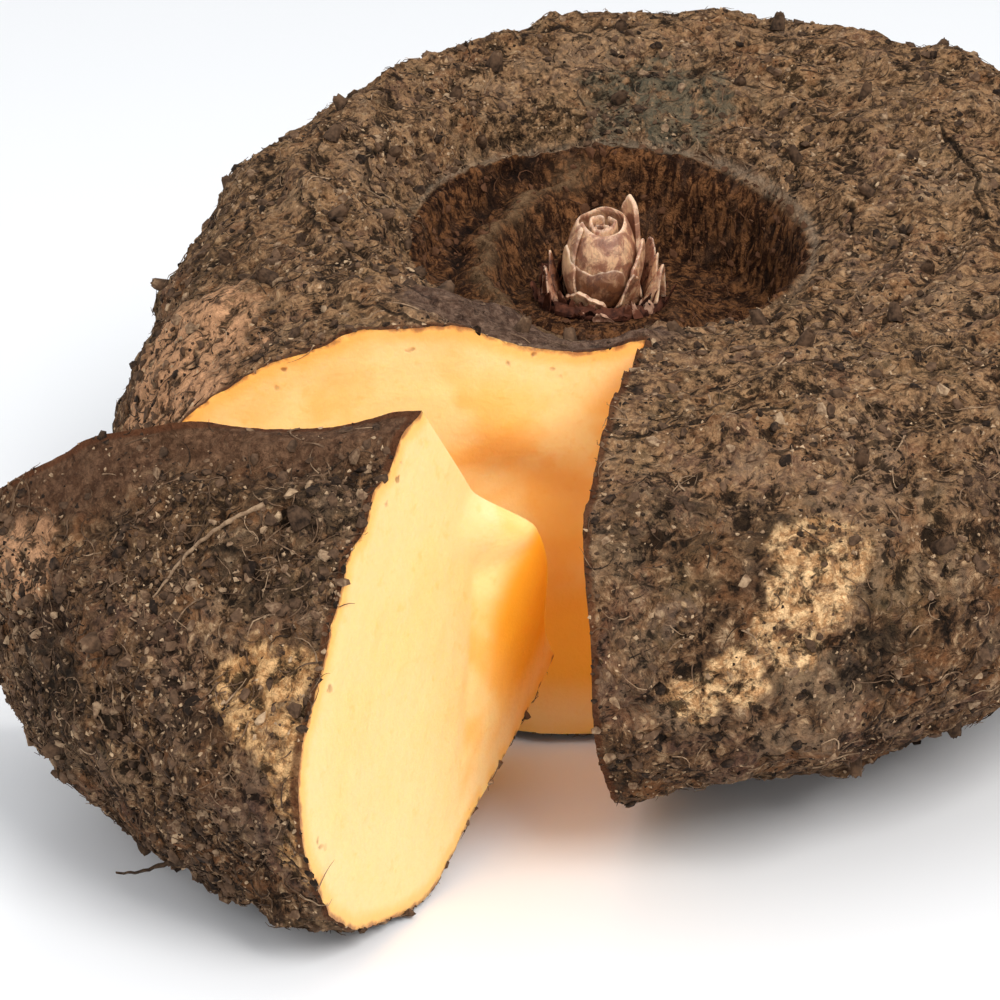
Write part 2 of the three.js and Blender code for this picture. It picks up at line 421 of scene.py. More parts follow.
    def effect(self, group: NodeTree, point: object) -> Node:
        """Adds a shared effect and feeds its point."""
        made = self.node("ShaderNodeGroup", node_tree=group)
        self.feed(made.inputs["Point"], point)
        return made


def open_effect(name: str, outputs: Sequence[tuple[str, str]]) -> tuple[Graph, NodeSocket, Node]:
    """Starts a shared effect.

    Args:
        name: name of the node group.
        outputs: name and socket kind of each output.

    Returns:
        The graph, the point it reads and its output node.
    """
    group = bpy.data.node_groups.new(name, "ShaderNodeTree")
    group.interface.new_socket("Point", in_out="INPUT", socket_type="NodeSocketVector")
    for label, kind in outputs:
        group.interface.new_socket(label, in_out="OUTPUT", socket_type=kind)
    graph = Graph(group)
    entry = graph.node("NodeGroupInput")
    return graph, entry.outputs["Point"], graph.node("NodeGroupOutput")


def open_material(name: str) -> tuple[Material, Graph, Node]:
    """Starts a material.

    Args:
        name: name of the material.

    Returns:
        The material, its graph and its shader.
    """
    material = bpy.data.materials.new(name)
    material.use_nodes = True
    graph = Graph(material.node_tree)
    return material, graph, material.node_tree.nodes["Principled BSDF"]


# Finishes


@dataclass(frozen=True)
class BarkEffect:
    """Shared colour and height of the rough corky skin."""

    soil_and_shade: Colour = (0.020, 0.012, 0.008, 1)
    dull: Colour = (0.074, 0.037, 0.019, 1)
    brown: Colour = (0.190, 0.099, 0.049, 1)
    pale: Colour = (0.52, 0.335, 0.185, 1)
    rust: Colour = (0.25, 0.100, 0.038, 1)
    ash: Colour = (0.170, 0.114, 0.083, 1)
    plum: Colour = (0.145, 0.076, 0.059, 1)
    olive: Colour = (0.165, 0.112, 0.053, 1)
    sand: Colour = (0.36, 0.240, 0.145, 1)

    def make(self) -> NodeTree:
        """Node group with the bark's colour and height.

        Returns:
            The node group.
        """
        graph, point, out = open_effect("bark", (("Colour", "NodeSocketColor"), ("Height", "NodeSocketFloat"),
                                                 ("Grit", "NodeSocketFloat")))
        bent = graph.warp(point, 180, 0.004)
        clumps = graph.noise(bent, 330, 4, 0.65, 0.3)
        grain = graph.noise(bent, 820, 4, 0.72, 0.5)
        streaks = graph.noise(graph.stretch(bent, (1, 1, 0.2)), 620, 3, 0.65, 0.5)
        hue = graph.noise(graph.warp(point, 60, 0.02), 62, 3, 0.6)
        body = graph.math("ADD", graph.math("MULTIPLY", clumps, 0.36), graph.math("MULTIPLY", grain, 0.38))
        body = graph.math("ADD", body, graph.math("MULTIPLY", streaks, 0.26))
        colour = graph.ramp(body,
                            ((0.405, self.soil_and_shade), (0.466, self.dull), (0.532, self.brown), (0.628, self.pale)))
        rusty = graph.span(graph.noise(bent, 95, 4, 0.7), 0.50, 0.64, 0.0, 0.55)
        colour = graph.mix(rusty, colour, self.rust)
        ashen = graph.span(graph.noise(graph.warp(point, 60, 0.02), 120, 4, 0.7), 0.5, 0.66, 0.0, 0.5)
        colour = graph.mix(ashen, colour, self.ash)
        colour = graph.mix(graph.span(hue, 0.46, 0.34, 0.0, 0.4), colour, self.plum)
        colour = graph.mix(graph.span(hue, 0.54, 0.66, 0.0, 0.35), colour, self.olive)
        broad = graph.noise(graph.warp(point, 90, 0.012), 52, 5, 0.7)
        colour = graph.mix(graph.span(broad, 0.49, 0.39, 0.0, 0.62), colour, self.soil_and_shade)
        colour = graph.mix(graph.span(broad, 0.53, 0.62, 0.0, 0.35), colour, self.sand)
        flecks = graph.math("MULTIPLY", graph.span(graph.cells(bent, 430), 0.26, 0.14),
                            graph.span(streaks, 0.46, 0.58))
        colour = graph.mix(graph.math("MULTIPLY", flecks, 0.8), colour, self.pale)
        pits = graph.math("MULTIPLY", graph.span(graph.cells(graph.warp(point, 300, 0.004), 260), 0.26, 0.12),
                          graph.span(clumps, 0.54, 0.44))
        colour = graph.mix(graph.math("MULTIPLY", pits, 0.9), colour, self.soil_and_shade)
        height = graph.math("ADD", clumps, graph.math("MULTIPLY", grain, 0.9))
        height = graph.math("ADD", height, graph.math("MULTIPLY", streaks, 0.6))
        height = graph.math("SUBTRACT", height, graph.math("MULTIPLY", pits, 0.7))
        graph.feed(out.inputs["Colour"], colour)
        graph.feed(out.inputs["Height"], height)
        graph.feed(out.inputs["Grit"], body)
        return graph.tree


def spot_mask(graph: Graph, point: object, spots: Sequence[Spot], ragged: float = 0.5) -> NodeSocket:
    """Mask of ragged patches.

    Args:
        graph: graph of the material.
        point: object coordinates.
        spots: middle and radius of each patch, in millimetres.
        ragged: share of each patch's radius that its edge wanders.

    Returns:
        The mask, 1 in the patches.
    """
    wander = graph.noise(point, 130, 4, 0.65)
    mask: object = 0.0
    for (x, y, z), radius in spots:
        gap = graph.node("ShaderNodeVectorMath", operation="DISTANCE")
        graph.feed(gap.inputs[0], point)
        gap.inputs[1].default_value = (x * MM, y * MM, z * MM)
        reach = graph.math("ADD", graph.math("DIVIDE", gap.outputs["Value"], radius * MM),
                           graph.math("MULTIPLY", wander, 2.4 * ragged))
        mask = graph.math("MAXIMUM", mask, graph.span(reach, 1.0 + 1.2 * ragged, 0.7 + 1.2 * ragged))
    return mask


@dataclass(frozen=True)
class SkinFinish:
    """Corky skin with scraped, stained and mouldy patches, with painted shade patches, painted shade in its
    hollows, painted highlights on its crests and a painted lit crown.
    """

    name: str
    scraped: tuple[Spot, ...]
    pink: tuple[Spot, ...]
    mould: tuple[Spot, ...]
    shade: tuple[Spot, ...]
    lit_top_share: float
    tan: Colour = (0.52, 0.27, 0.115, 1)
    cream: Colour = (0.95, 0.61, 0.31, 1)
    blush: Colour = (0.72, 0.38, 0.20, 1)
    bloom: Colour = (0.100, 0.102, 0.072, 1)
    damp_and_shade: Colour = (0.028, 0.022, 0.015, 1)
    worn: Colour = (0.185, 0.113, 0.080, 1)
    worn_dark: Colour = (0.080, 0.042, 0.028, 1)
    lip: Colour = (0.30, 0.215, 0.145, 1)
    chocolate: Colour = (0.034, 0.012, 0.005, 1)
    cocoa: Colour = (0.230, 0.096, 0.037, 1)
    soil_and_shade: Colour = (0.013, 0.008, 0.005, 1)
    lit_honey: Colour = (0.50, 0.285, 0.140, 1)
    crest_highlight: Colour = (0.42, 0.285, 0.175, 1)
    cut_line: Colour = (0.105, 0.036, 0.015, 1)
    umber: Colour = (0.130, 0.072, 0.044, 1)
    hollow: Colour = (0.012, 0.005, 0.003, 1)
    shelf: Colour = (0.205, 0.118, 0.060, 1)
    crack_shade: Colour = (0.012, 0.006, 0.004, 1)
    ring_centre: tuple[float, float, float] = (0.0035, 0.019, 0)
    rings_per_metre: float = 88.0
    roughness: float = 0.9
    gloss: float = 0.08
    bump_depth: float = 0.0019

    def make(self, bark: NodeTree) -> Material:
        """Material of the skin.

        Args:
            bark: shared effect of the corky skin.

        Returns:
            The material.
        """
        material, graph, shader = open_material(self.name)
        point = graph.object_point()
        effect = graph.effect(bark, point)
        colour, height, grit = (effect.outputs[name] for name in ("Colour", "Height", "Grit"))
        fine = graph.noise(point, 600, 4, 0.75)
        broken = graph.span(graph.noise(point, 300, 4, 0.72, 0.6), 0.36, 0.54)
        # Painted light: the crown is painted warmer and lighter, as if lit from above.
        lit_warm = graph.mix(graph.span(fine, 0.42, 0.62, 0.05, 0.80), colour, self.lit_honey)
        colour = graph.mix(graph.math("MULTIPLY", graph.attribute("top"), self.lit_top_share), colour, lit_warm)
        # The shade spots are painted shade: ragged darker patches on the flanks.
        for spots, tone, strength, ragged in ((self.pink, self.blush, 0.85, 0.5),
                                              (self.mould, self.bloom, 0.7, 0.6),
                                              (self.shade, self.damp_and_shade, 0.6, 0.7)):
            if spots:
                mask = graph.math("MULTIPLY", spot_mask(graph, point, spots, ragged), strength)
                colour = graph.mix(graph.math("MULTIPLY", mask, broken), colour, tone)
        colour, cracks = self.scars(graph, point, colour)
        if self.scraped:
            mask = spot_mask(graph, point, self.scraped, 0.5)
            bare = graph.mix(graph.span(fine, 0.42, 0.60), self.tan, self.cream)
            colour = graph.mix(graph.math("MULTIPLY", mask, broken), colour, bare)
        # Painted shade and painted highlight: the skin is painted darker where its relief is low, partly soil
        # in the hollows, and lighter on its crests.
        lift = graph.math("ADD", graph.attribute("lift"),
                          graph.math("MULTIPLY", graph.math("SUBTRACT", grit, 0.5), 9.0))
        colour = graph.mix(graph.span(lift, -0.35, -1.15, 0.0, 0.85), colour, self.soil_and_shade)
        colour = graph.mix(graph.span(lift, 0.55, 1.5, 0.0, 0.40), colour, self.crest_highlight)
        colour = self.edges(graph, colour, fine)
        colour = self.basin(graph, point, colour, lift, fine)
        graph.feed(shader.inputs["Base Color"], colour)
        shader.inputs["Roughness"].default_value = self.roughness
        shader.inputs["Specular IOR Level"].default_value = self.gloss
        height = graph.math("SUBTRACT", height, graph.math("MULTIPLY", cracks, 0.8))
        graph.feed(shader.inputs["Normal"], graph.bump(height, 1.0, self.bump_depth))
        return material

    def scars(self, graph: Graph, point: object, colour: object) -> tuple[NodeSocket, NodeSocket]:
        """Broken dark cracks of old leaf scars, in rings round the basin.

        Args:
            graph: graph of the material.
            point: object coordinates.
            colour: colour below the cracks.

        Returns:
            The colour and the mask of the cracks.
        """
        level = graph.stretch(graph.warp(point, 70, 0.012), (1, 0.93, 0))
        gap = graph.node("ShaderNodeVectorMath", operation="DISTANCE")
        graph.feed(gap.inputs[0], level)
        gap.inputs[1].default_value = self.ring_centre
        turn = graph.math("FRACT", graph.math("MULTIPLY", gap.outputs["Value"], self.rings_per_metre))
        some = graph.span(graph.noise(point, 48, 3, 0.6), 0.49, 0.56)
        line = graph.math("MULTIPLY", graph.span(turn, 0.10, 0.03), some)
        line = graph.math("MULTIPLY", line, graph.attribute("top"))
        return graph.mix(graph.math("MULTIPLY", line, 0.85), colour, self.soil_and_shade), line

    def edges(self, graph: Graph, colour: object, fine: object) -> NodeSocket:
        """Worn band by the cuts, partly painted shade, pale lip of the basin and brown line along the cut.

        Args:
            graph: graph of the material.
            colour: colour below them.
            fine: fine noise.

        Returns:
            The colour.
        """
        worn = graph.attribute("worn")
        # Partly painted shade: the worn band is painted darker where it lies in shade, on the chunk's top and
        # in front of the basin.
        smooth = graph.mix(graph.span(fine, 0.38, 0.62), self.worn_dark, self.worn)
        colour = graph.mix(graph.math("MULTIPLY", worn, 0.9), colour, smooth)
        lip = graph.math("MULTIPLY", graph.attribute("lip"), graph.span(fine, 0.36, 0.56, 0.3, 0.9))
        colour = graph.mix(lip, colour, self.lip)
        side = graph.math("ADD", graph.attribute("edge"), graph.math("MULTIPLY", fine, 0.5))
        return graph.mix(graph.span(side, 0.75, 1.15, 0.0, 0.8), colour, self.cut_line)

    def basin(self, graph: Graph, point: object, colour: object, lift: object, fine: object) -> NodeSocket:
        """Chocolate brown of the basin, with painted shade in its hollows and crack, and the lighter lip of
        its bowl, partly painted highlight.

        Args:
            graph: graph of the material.
            point: object coordinates.
            colour: colour outside the basin.
            lift: height of the relief.
            fine: fine noise.

        Returns:
            The colour.
        """
        strands = graph.noise(graph.stretch(point, (1, 1, 0.3)), 560, 4, 0.7, 0.9)
        earth = graph.mix(graph.span(strands, 0.42, 0.60), self.chocolate, self.cocoa)
        earth = graph.mix(graph.span(graph.noise(point, 170, 3, 0.6), 0.52, 0.68, 0.0, 0.35), earth,
                          self.umber)
        # Painted shade: the basin is painted near black where its relief is low.
        earth = graph.mix(graph.span(lift, 0.1, -0.9, 0.0, 0.75), earth, self.hollow)
        # Painted highlight and painted shade: the lip between shelf and bowl is painted lighter, partly its
        # own olive tone, and the crack behind it is painted near black.
        ledge = graph.math("MULTIPLY", graph.attribute("ledge"), graph.span(fine, 0.34, 0.56, 0.35, 1.0))
        earth = graph.mix(ledge, earth, self.shelf)
        earth = graph.mix(graph.math("MULTIPLY", graph.attribute("crack"), 0.9), earth, self.crack_shade)
        inside = graph.math("ADD", graph.attribute("basin"),
                            graph.math("MULTIPLY", graph.math("SUBTRACT", fine, 0.5), 0.8))
        return graph.mix(graph.span(inside, 0.3, 0.7), colour, earth)


@dataclass(frozen=True)
class FleshFinish:
    """Moist grainy flesh of a cut face, with a thin cortex line under the skin, and deeper orange that is
    partly painted shade.
    """

    name: str = "cut_flesh"
    pale: Colour = (0.97, 0.74, 0.34, 1)
    cream: Colour = (0.92, 0.615, 0.285, 1)
    yellow: Colour = (0.93, 0.585, 0.215, 1)
    gold: Colour = (0.94, 0.50, 0.105, 1)
    amber: Colour = (0.90, 0.395, 0.022, 1)
    shade_burnt: Colour = (0.56, 0.165, 0.012, 1)
    cortex: Colour = (0.30, 0.12, 0.045, 1)
    pit: Colour = (0.22, 0.08, 0.025, 1)
    roughness: float = 0.45
    gloss: float = 0.4
    glow_share: float = 0.3
    glow_radius: tuple[float, float, float] = (1.0, 0.5, 0.15)
    glow_depth: float = 0.004
    bump_depth: float = 0.0006

    def make(self) -> Material:
        """Material of the cut flesh.

        Returns:
            The material.
        """
        material, graph, shader = open_material(self.name)
        point = graph.object_point()
        rind, orange_and_shade = graph.attribute("rind"), graph.attribute("orange_and_shade")
        mottle = graph.noise(graph.warp(point, 60, 0.010), 70, 2, 0.5)
        grain = graph.noise(point, 1100, 3, 0.6)
        fleck = graph.noise(point, 330, 3, 0.6)
        colour = graph.mix(graph.span(mottle, 0.38, 0.68, 0.0, 0.45), self.cream, self.yellow)
        colour = graph.mix(graph.span(orange_and_shade, 0.0, 0.5), colour, self.yellow)
        clouds = graph.mix(graph.span(mottle, 0.38, 0.60), self.gold, self.pale)
        colour = graph.mix(graph.span(orange_and_shade, 0.04, 0.22, 0.0, 0.7), colour, clouds)
        # Painted shade: the amber and darkest orange tones stand for the shade and orange bounce light low in
        # the notch and by the chunk's heel, besides the flesh's own orange core.
        colour = graph.mix(graph.span(orange_and_shade, 0.5, 1.0), colour, self.amber)
        colour = graph.mix(graph.span(orange_and_shade, 1.0, 2.0), colour, self.shade_burnt)
        colour = graph.mix(graph.span(rind, 11.0, 3.5, 0.0, 0.6), colour, self.cream)
        colour = graph.mix(graph.span(fleck, 0.56, 0.74, 0.0, 0.22), colour, self.amber)
        colour = graph.mix(graph.span(grain, 0.35, 0.7, 0.0, 0.08), colour, self.amber)
        ragged = graph.math("ADD", rind, graph.math("MULTIPLY", graph.noise(point, 360, 4, 0.65), 1.6))
        colour = graph.mix(graph.span(ragged, 4.2, 1.7, 0.0, 0.5), colour, self.amber)
        colour = graph.mix(graph.span(ragged, 1.75, 0.95, 0.0, 0.92), colour, self.cortex)
        near = graph.span(rind, 6.5, 2.0, 0.0, 0.8)
        holes = graph.span(graph.cells(graph.warp(point, 420, 0.0025), 250), 0.22, 0.10)
        some = graph.span(graph.noise(point, 90, 2), 0.51, 0.57)
        pits = graph.math("MULTIPLY", graph.math("MULTIPLY", holes, some), near)
        colour = graph.mix(pits, colour, self.pit)
        graph.feed(shader.inputs["Base Color"], colour)
        shader.inputs["Roughness"].default_value = self.roughness
        shader.inputs["Specular IOR Level"].default_value = self.gloss
        shader.inputs["Subsurface Weight"].default_value = self.glow_share
        shader.inputs["Subsurface Radius"].default_value = self.glow_radius
        shader.inputs["Subsurface Scale"].default_value = self.glow_depth
        height = graph.math("ADD", graph.math("MULTIPLY", grain, 0.5), graph.math("MULTIPLY", fleck, 0.6))
        height = graph.math("SUBTRACT", height, graph.math("MULTIPLY", pits, 1.2))
        graph.feed(shader.inputs["Normal"], graph.bump(height, 0.3, self.bump_depth))
        return material


@dataclass(frozen=True)
class TintFinish:
    """Small dry parts whose tone is kept on the mesh, from dark to pale."""

    name: str
    dark: Colour
    middle: Colour
    pale: Colour
    roughness: float = 0.85
    grain: float = 900.0
    damp_and_shade: Colour = (0.105, 0.043, 0.020, 1)
    gloss: float = 0.12
    bump_depth: float = 0.0003

    def make(self) -> Material:
        """Material of the small parts.

        Returns:
            The material.
        """
        material, graph, shader = open_material(self.name)
        point = graph.object_point()
        tone = graph.math("ADD", graph.attribute("tone"),
                          graph.span(graph.noise(point, self.grain, 3, 0.6), 0.3, 0.7, -0.16, 0.16), True)
        colour = graph.ramp(tone, ((0.0, self.dark), (0.55, self.middle), (1.0, self.pale)))
        # In the basin the parts are painted darker, partly damp and partly painted shade in the crater.
        graph.feed(shader.inputs["Base Color"],
                   graph.mix(graph.math("MULTIPLY", graph.attribute("basin"), 0.8), colour, self.damp_and_shade))
        shader.inputs["Roughness"].default_value = self.roughness
        shader.inputs["Specular IOR Level"].default_value = self.gloss
        graph.feed(shader.inputs["Normal"],
                   graph.bump(graph.noise(point, 2 * self.grain, 2), 0.5, self.bump_depth))
        return material


@dataclass(frozen=True)
class ShootFinish:
    """Pinkish cream leaf sheath with veins, stained tips, painted shade towards the foot and on the left, and
    pale edges.
    """

    name: str = "young_shoot"
    cream: Colour = (0.72, 0.43, 0.235, 1)
    pink: Colour = (0.34, 0.135, 0.078, 1)
    brown: Colour = (0.17, 0.060, 0.022, 1)
    stain_and_shade: Colour = (0.060, 0.018, 0.010, 1)
    edge: Colour = (0.84, 0.56, 0.38, 1)
    roughness: float = 0.5
    glow_share: float = 0.25
    glow_radius: tuple[float, float, float] = (1.0, 0.5, 0.3)
    glow_depth: float = 0.0015
    bump_depth: float = 0.0004

    def make(self) -> Material:
        """Material of the shoot.

        Returns:
            The material.
        """
        material, graph, shader = open_material(self.name)
        point = graph.object_point()
        tone = graph.attribute("tone")
        blush = graph.attribute("blush")
        patches = graph.noise(point, 330, 4, 0.65, 0.6)
        veins = graph.noise(graph.stretch(point, (1, 1, 0.12)), 1900, 2, 0.6)
        rosy = graph.math("ADD", graph.span(patches, 0.42, 0.60, 0.0, 0.85),
                          graph.math("MULTIPLY", blush, 0.6), True)
        colour = graph.mix(rosy, self.cream, self.pink)
        colour = graph.mix(graph.span(veins, 0.42, 0.68, 0.0, 0.45), colour, self.pink)
        # Painted shade: brown and the dark stains gather towards each leaf's foot and on the left side,
        # besides real staining.
        browned_and_shaded = graph.math("ADD", graph.attribute("brown"), graph.span(patches, 0.35, 0.65, -0.3, 0.3),
                             True)
        colour = graph.mix(browned_and_shaded, colour, self.brown)
        margin = graph.math("MULTIPLY", graph.span(tone, 0.55, 1.0),
                            graph.span(patches, 0.60, 0.44, 0.15, 0.8))
        colour = graph.mix(margin, colour, self.edge)
        stains_and_shade = graph.math("MULTIPLY", graph.span(graph.noise(point, 560, 4, 0.7), 0.50, 0.60),
                            graph.math("ADD", graph.math("MULTIPLY", blush, 0.9), 0.2), True)
        colour = graph.mix(stains_and_shade, colour, self.stain_and_shade)
        graph.feed(shader.inputs["Base Color"], colour)
        shader.inputs["Roughness"].default_value = self.roughness
        shader.inputs["Subsurface Weight"].default_value = self.glow_share
        shader.inputs["Subsurface Radius"].default_value = self.glow_radius
        shader.inputs["Subsurface Scale"].default_value = self.glow_depth
        graph.feed(shader.inputs["Normal"], graph.bump(veins, 0.4, self.bump_depth))
        return material


@dataclass(frozen=True)
class FloorFinish:
    """Plain pale glossy floor."""

    name: str = "pale_floor"
    white: Colour = (0.86, 0.87, 0.89, 1)
    grey: Colour = (0.84, 0.855, 0.88, 1)
    roughness: float = 0.28
    gloss: float = 0.5

    def make(self) -> Material:
        """Material of the floor.

        Returns:
            The material.
        """
        material, graph, shader = open_material(self.name)
        cloud = graph.noise(graph.object_point(), 3, 2)
        colour = graph.mix(graph.span(cloud, 0.3, 0.7, 0.0, 0.2), self.white, self.grey)
        graph.feed(shader.inputs["Base Color"], colour)
        shader.inputs["Roughness"].default_value = self.roughness
        shader.inputs["Specular IOR Level"].default_value = self.gloss
        return material


# Forms


def curve(points: np.ndarray, share: np.ndarray, even: bool) -> np.ndarray:
    """Catmull-Rom curve.

    Args:
        points: points that the curve passes.
        share: places on the curve, from 0 to 1.
        even: true for even spans, false for spans by the root of their length.

    Returns:
        The points at those places.
    """
    ends = np.vstack([2 * points[0] - points[1], points, 2 * points[-1] - points[-2]])
    place = np.clip(share, 0, 1) * (len(points) - 1)
    span = np.minimum(place.astype(int), len(points) - 2)
    t = (place - span)[:, None]
    a, b, c, d = (ends[span + k] for k in range(4))
    if even:
        leave, arrive = (c - a) / 2, (d - b) / 2
    else:
        u, v, w = (np.maximum(np.sum((q - p) ** 2, 1), 1e-12)[:, None] ** 0.25 for p,
                   q in ((a, b), (b, c), (c, d)))
        leave = ((b - a) / u - (c - a) / (u + v) + (c - b) / v) * v
        arrive = ((c - b) / v - (d - b) / (v + w) + (d - c) / w) * v
    return b + leave * t + (3 * (c - b) - 2 * leave - arrive) * t**2 + (2 * (b - c) + leave + arrive) * t**3


@dataclass
class SkinForm:
    """Smooth skin of the whole corm, over an angle and a station.

    The station is 0 at the rest spot, 1 at the rim and 2 in mid basin. Each ring holds a radius, a height, a
    drift to the right and to the back, and its share of the crown's tilt, in millimetres.
    """

    rings: np.ndarray = field(default_factory=lambda: np.array([
        [0, -1.4, 0, 0, 0], [30, -0.6, 0, 0, 0], [71, 6, 2, 0.5, 0], [90, 13, 4, 1, 0], [105.5, 30, 9, 3, 0],
        [106.5, 59, 18, 5.5, 0.25], [99.5, 73, 20.5, 10, 0.5], [81.5, 84.5, 23, 17.5, 0.8],
        [57, 80.5, 13, 19, 1],
        [43, 74, 5, 20, 1], [39, 71, 3.5, 20.5, 1]]))
    width_stretch: float = 0.95
    depth_stretch: float = 1.08
    crown_tilt: float = 7.8
    shelf_drop: float = 7
    bowl_drop: float = 9
    bowl_slope: float = 4
    bowl_centre: tuple[float, float] = (8, 2)
    bowl_radius: tuple[float, float] = (31, 39)
    seat_radius: float = 15
    seat_height: float = 57.3
    bud_place: tuple[float, float] = (2.5, 22)
    wart_count: int = 170
    wart_height: float = 2.6
    wart_radius: float = 6.5
    lump_height: float = 1.1
    scar_spacing: float = 11
    scar_height: float = 0.8
    relief_mean: float = 1.2
    ledge_height: float = 1.5
    crack_depth: float = 1.1

    def basin_drop(self, x: np.ndarray, y: np.ndarray, nearness: np.ndarray) -> np.ndarray:
        """Drop of the basin floor below the rim plane.

        Args:
            x: places across the rim.
            y: places along the rim.
            nearness: share of the way out to the rim.

        Returns:
            The drop in millimetres.
        """
        bowl = np.hypot((x - self.bowl_centre[0]) / self.bowl_radius[0],
                        (y - self.bowl_centre[1]) / self.bowl_radius[1])
        shelf = self.shelf_drop * (1 - smooth_step(0.9, 1, nearness))
        depth = self.bowl_drop + self.bowl_slope * smooth_step(0, 34, x + 0.4 * y)
        return shelf + depth * (1 - smooth_step(0.80, 0.97, bowl))

    def ledge(self, point: np.ndarray, station: np.ndarray) -> tuple[np.ndarray, np.ndarray]:
        """Closeness to the lip between shelf and bowl, and to the crack behind it.

        Args:
            point: points of the skin.
            station: their stations.

        Returns:
            Lip and crack, from 0 to 1.
        """
        x, y = point[:, 0] - self.rings[-1, 2], point[:, 1] - self.rings[-1, 3]
        bowl = np.hypot((x - self.bowl_centre[0]) / self.bowl_radius[0],
                        (y - self.bowl_centre[1]) / self.bowl_radius[1])
        bowl = bowl + 0.03 * np.sin(0.35 * y) + 0.018 * np.sin(0.9 * y + 1.0)
        here = smooth_step(2, -9, x) * smooth_step(1.02, 1.10, station)
        return hump(bowl - 1.02, 0.055) * here, hump(bowl - 1.19, 0.035) * here * smooth_step(-12, 2, y)

    def smooth(self, angle: np.ndarray, station: np.ndarray) -> np.ndarray:
        """Points of the smooth skin.

        Args:
            angle: angles round the corm.
            station: stations.

        Returns:
            The points.
        """
        along = np.minimum(station, 1)
        ring = curve(self.rings[:, :2], along, even=False)
        drift = curve(self.rings[:, 2:], along, even=True)
        inner = station > 1
        nearness = np.where(inner, 1 - np.maximum(station - 1, 0) ** 1.5, 1)
        x = self.width_stretch * ring[:, 0] * nearness * np.cos(angle)
        y = self.depth_stretch * ring[:, 0] * nearness * np.sin(angle)
        drop = np.where(inner, self.basin_drop(x, y, nearness), 0)
        rise = drift[:, 2] * math.tan(math.radians(self.crown_tilt)) * y
        point = np.stack([drift[:, 0] + x, drift[:, 1] + y, ring[:, 1] + rise - drop], 1)
        from_bud = np.hypot(point[:, 0] - self.bud_place[0], point[:, 1] - self.bud_place[1])
        level = smooth_step(self.seat_radius, self.seat_radius + 7, from_bud)
        point[:, 2] = np.where(inner, self.seat_height + (point[:, 2] - self.seat_height) * level,
                               point[:, 2])
        return point

    def normal(self, angle: np.ndarray, station: np.ndarray) -> np.ndarray:
        """Outward unit normals of the smooth skin.

        Args:
            angle: angles round the corm.
            station: stations.

        Returns:
            The normals.
        """
        step = 0.004
        here = self.smooth(angle, station)
        around = self.smooth(angle + step, station) - here
        up = self.smooth(angle, np.minimum(station + step, 1.96)) - here
        cross = np.cross(around, up)
        return cross / np.maximum(np.linalg.norm(cross, axis=1, keepdims=True), 1e-9)

    def relief(self, point: np.ndarray, station: np.ndarray) -> np.ndarray:
        """Height of lumps, leaf scar rings and warts over the smooth skin.

        Args:
            point: points of the smooth skin.
            station: their stations.

        Returns:
            The height in millimetres.
        """
        x, y, z = point.T
        broad = np.sin(0.052 * x + 1.3) * np.sin(0.047 * y + 0.4 + 0.02 * z)
        fine = np.sin(0.13 * x + np.sin(0.09 * y)) * np.sin(0.12 * y + 0.15 * z + 1.1)
        reach = np.hypot(x - self.rings[-1, 2], y - self.rings[-1, 3])
        scar = np.sin(2 * math.pi * reach / self.scar_spacing + 0.8 * np.sin(0.06 * x))
        crown = smooth_step(0.6, 0.75, station)
        relief = self.lump_height * (broad + 0.7 * fine) + self.scar_height * scar * crown - self.relief_mean
        order = np.arange(self.wart_count)
        size = 0.45 + 0.55 * share_of(order * GOLDEN_SHARE * 7.3)
        places = self.smooth(order * GOLDEN_ANGLE, 0.2 + 0.72 * share_of(order * GOLDEN_SHARE * 1.7 + 0.31))
        radii = self.wart_radius * (0.6 + 0.4 * share_of(order * GOLDEN_SHARE * 3.1))
        for place, height, radius in zip(places, self.wart_height * size, radii):
            relief += height * hump(np.linalg.norm(point - place, axis=1), radius)
        return relief * smooth_step(0.5, 9, z) * (1 - smooth_step(0.985, 1.02, station))

    def skin(self, angle: np.ndarray, station: np.ndarray) -> np.ndarray:
        """Points of the skin with its relief.

        Args:
            angle: angles round the corm.
            station: stations.

        Returns:
            The points.
        """
        point = self.smooth(angle, station)
        lip, crack = self.ledge(point, station)
        relief = self.relief(point, station) + self.ledge_height * lip - self.crack_depth * crack
        return point + self.normal(angle, station) * relief[:, None]


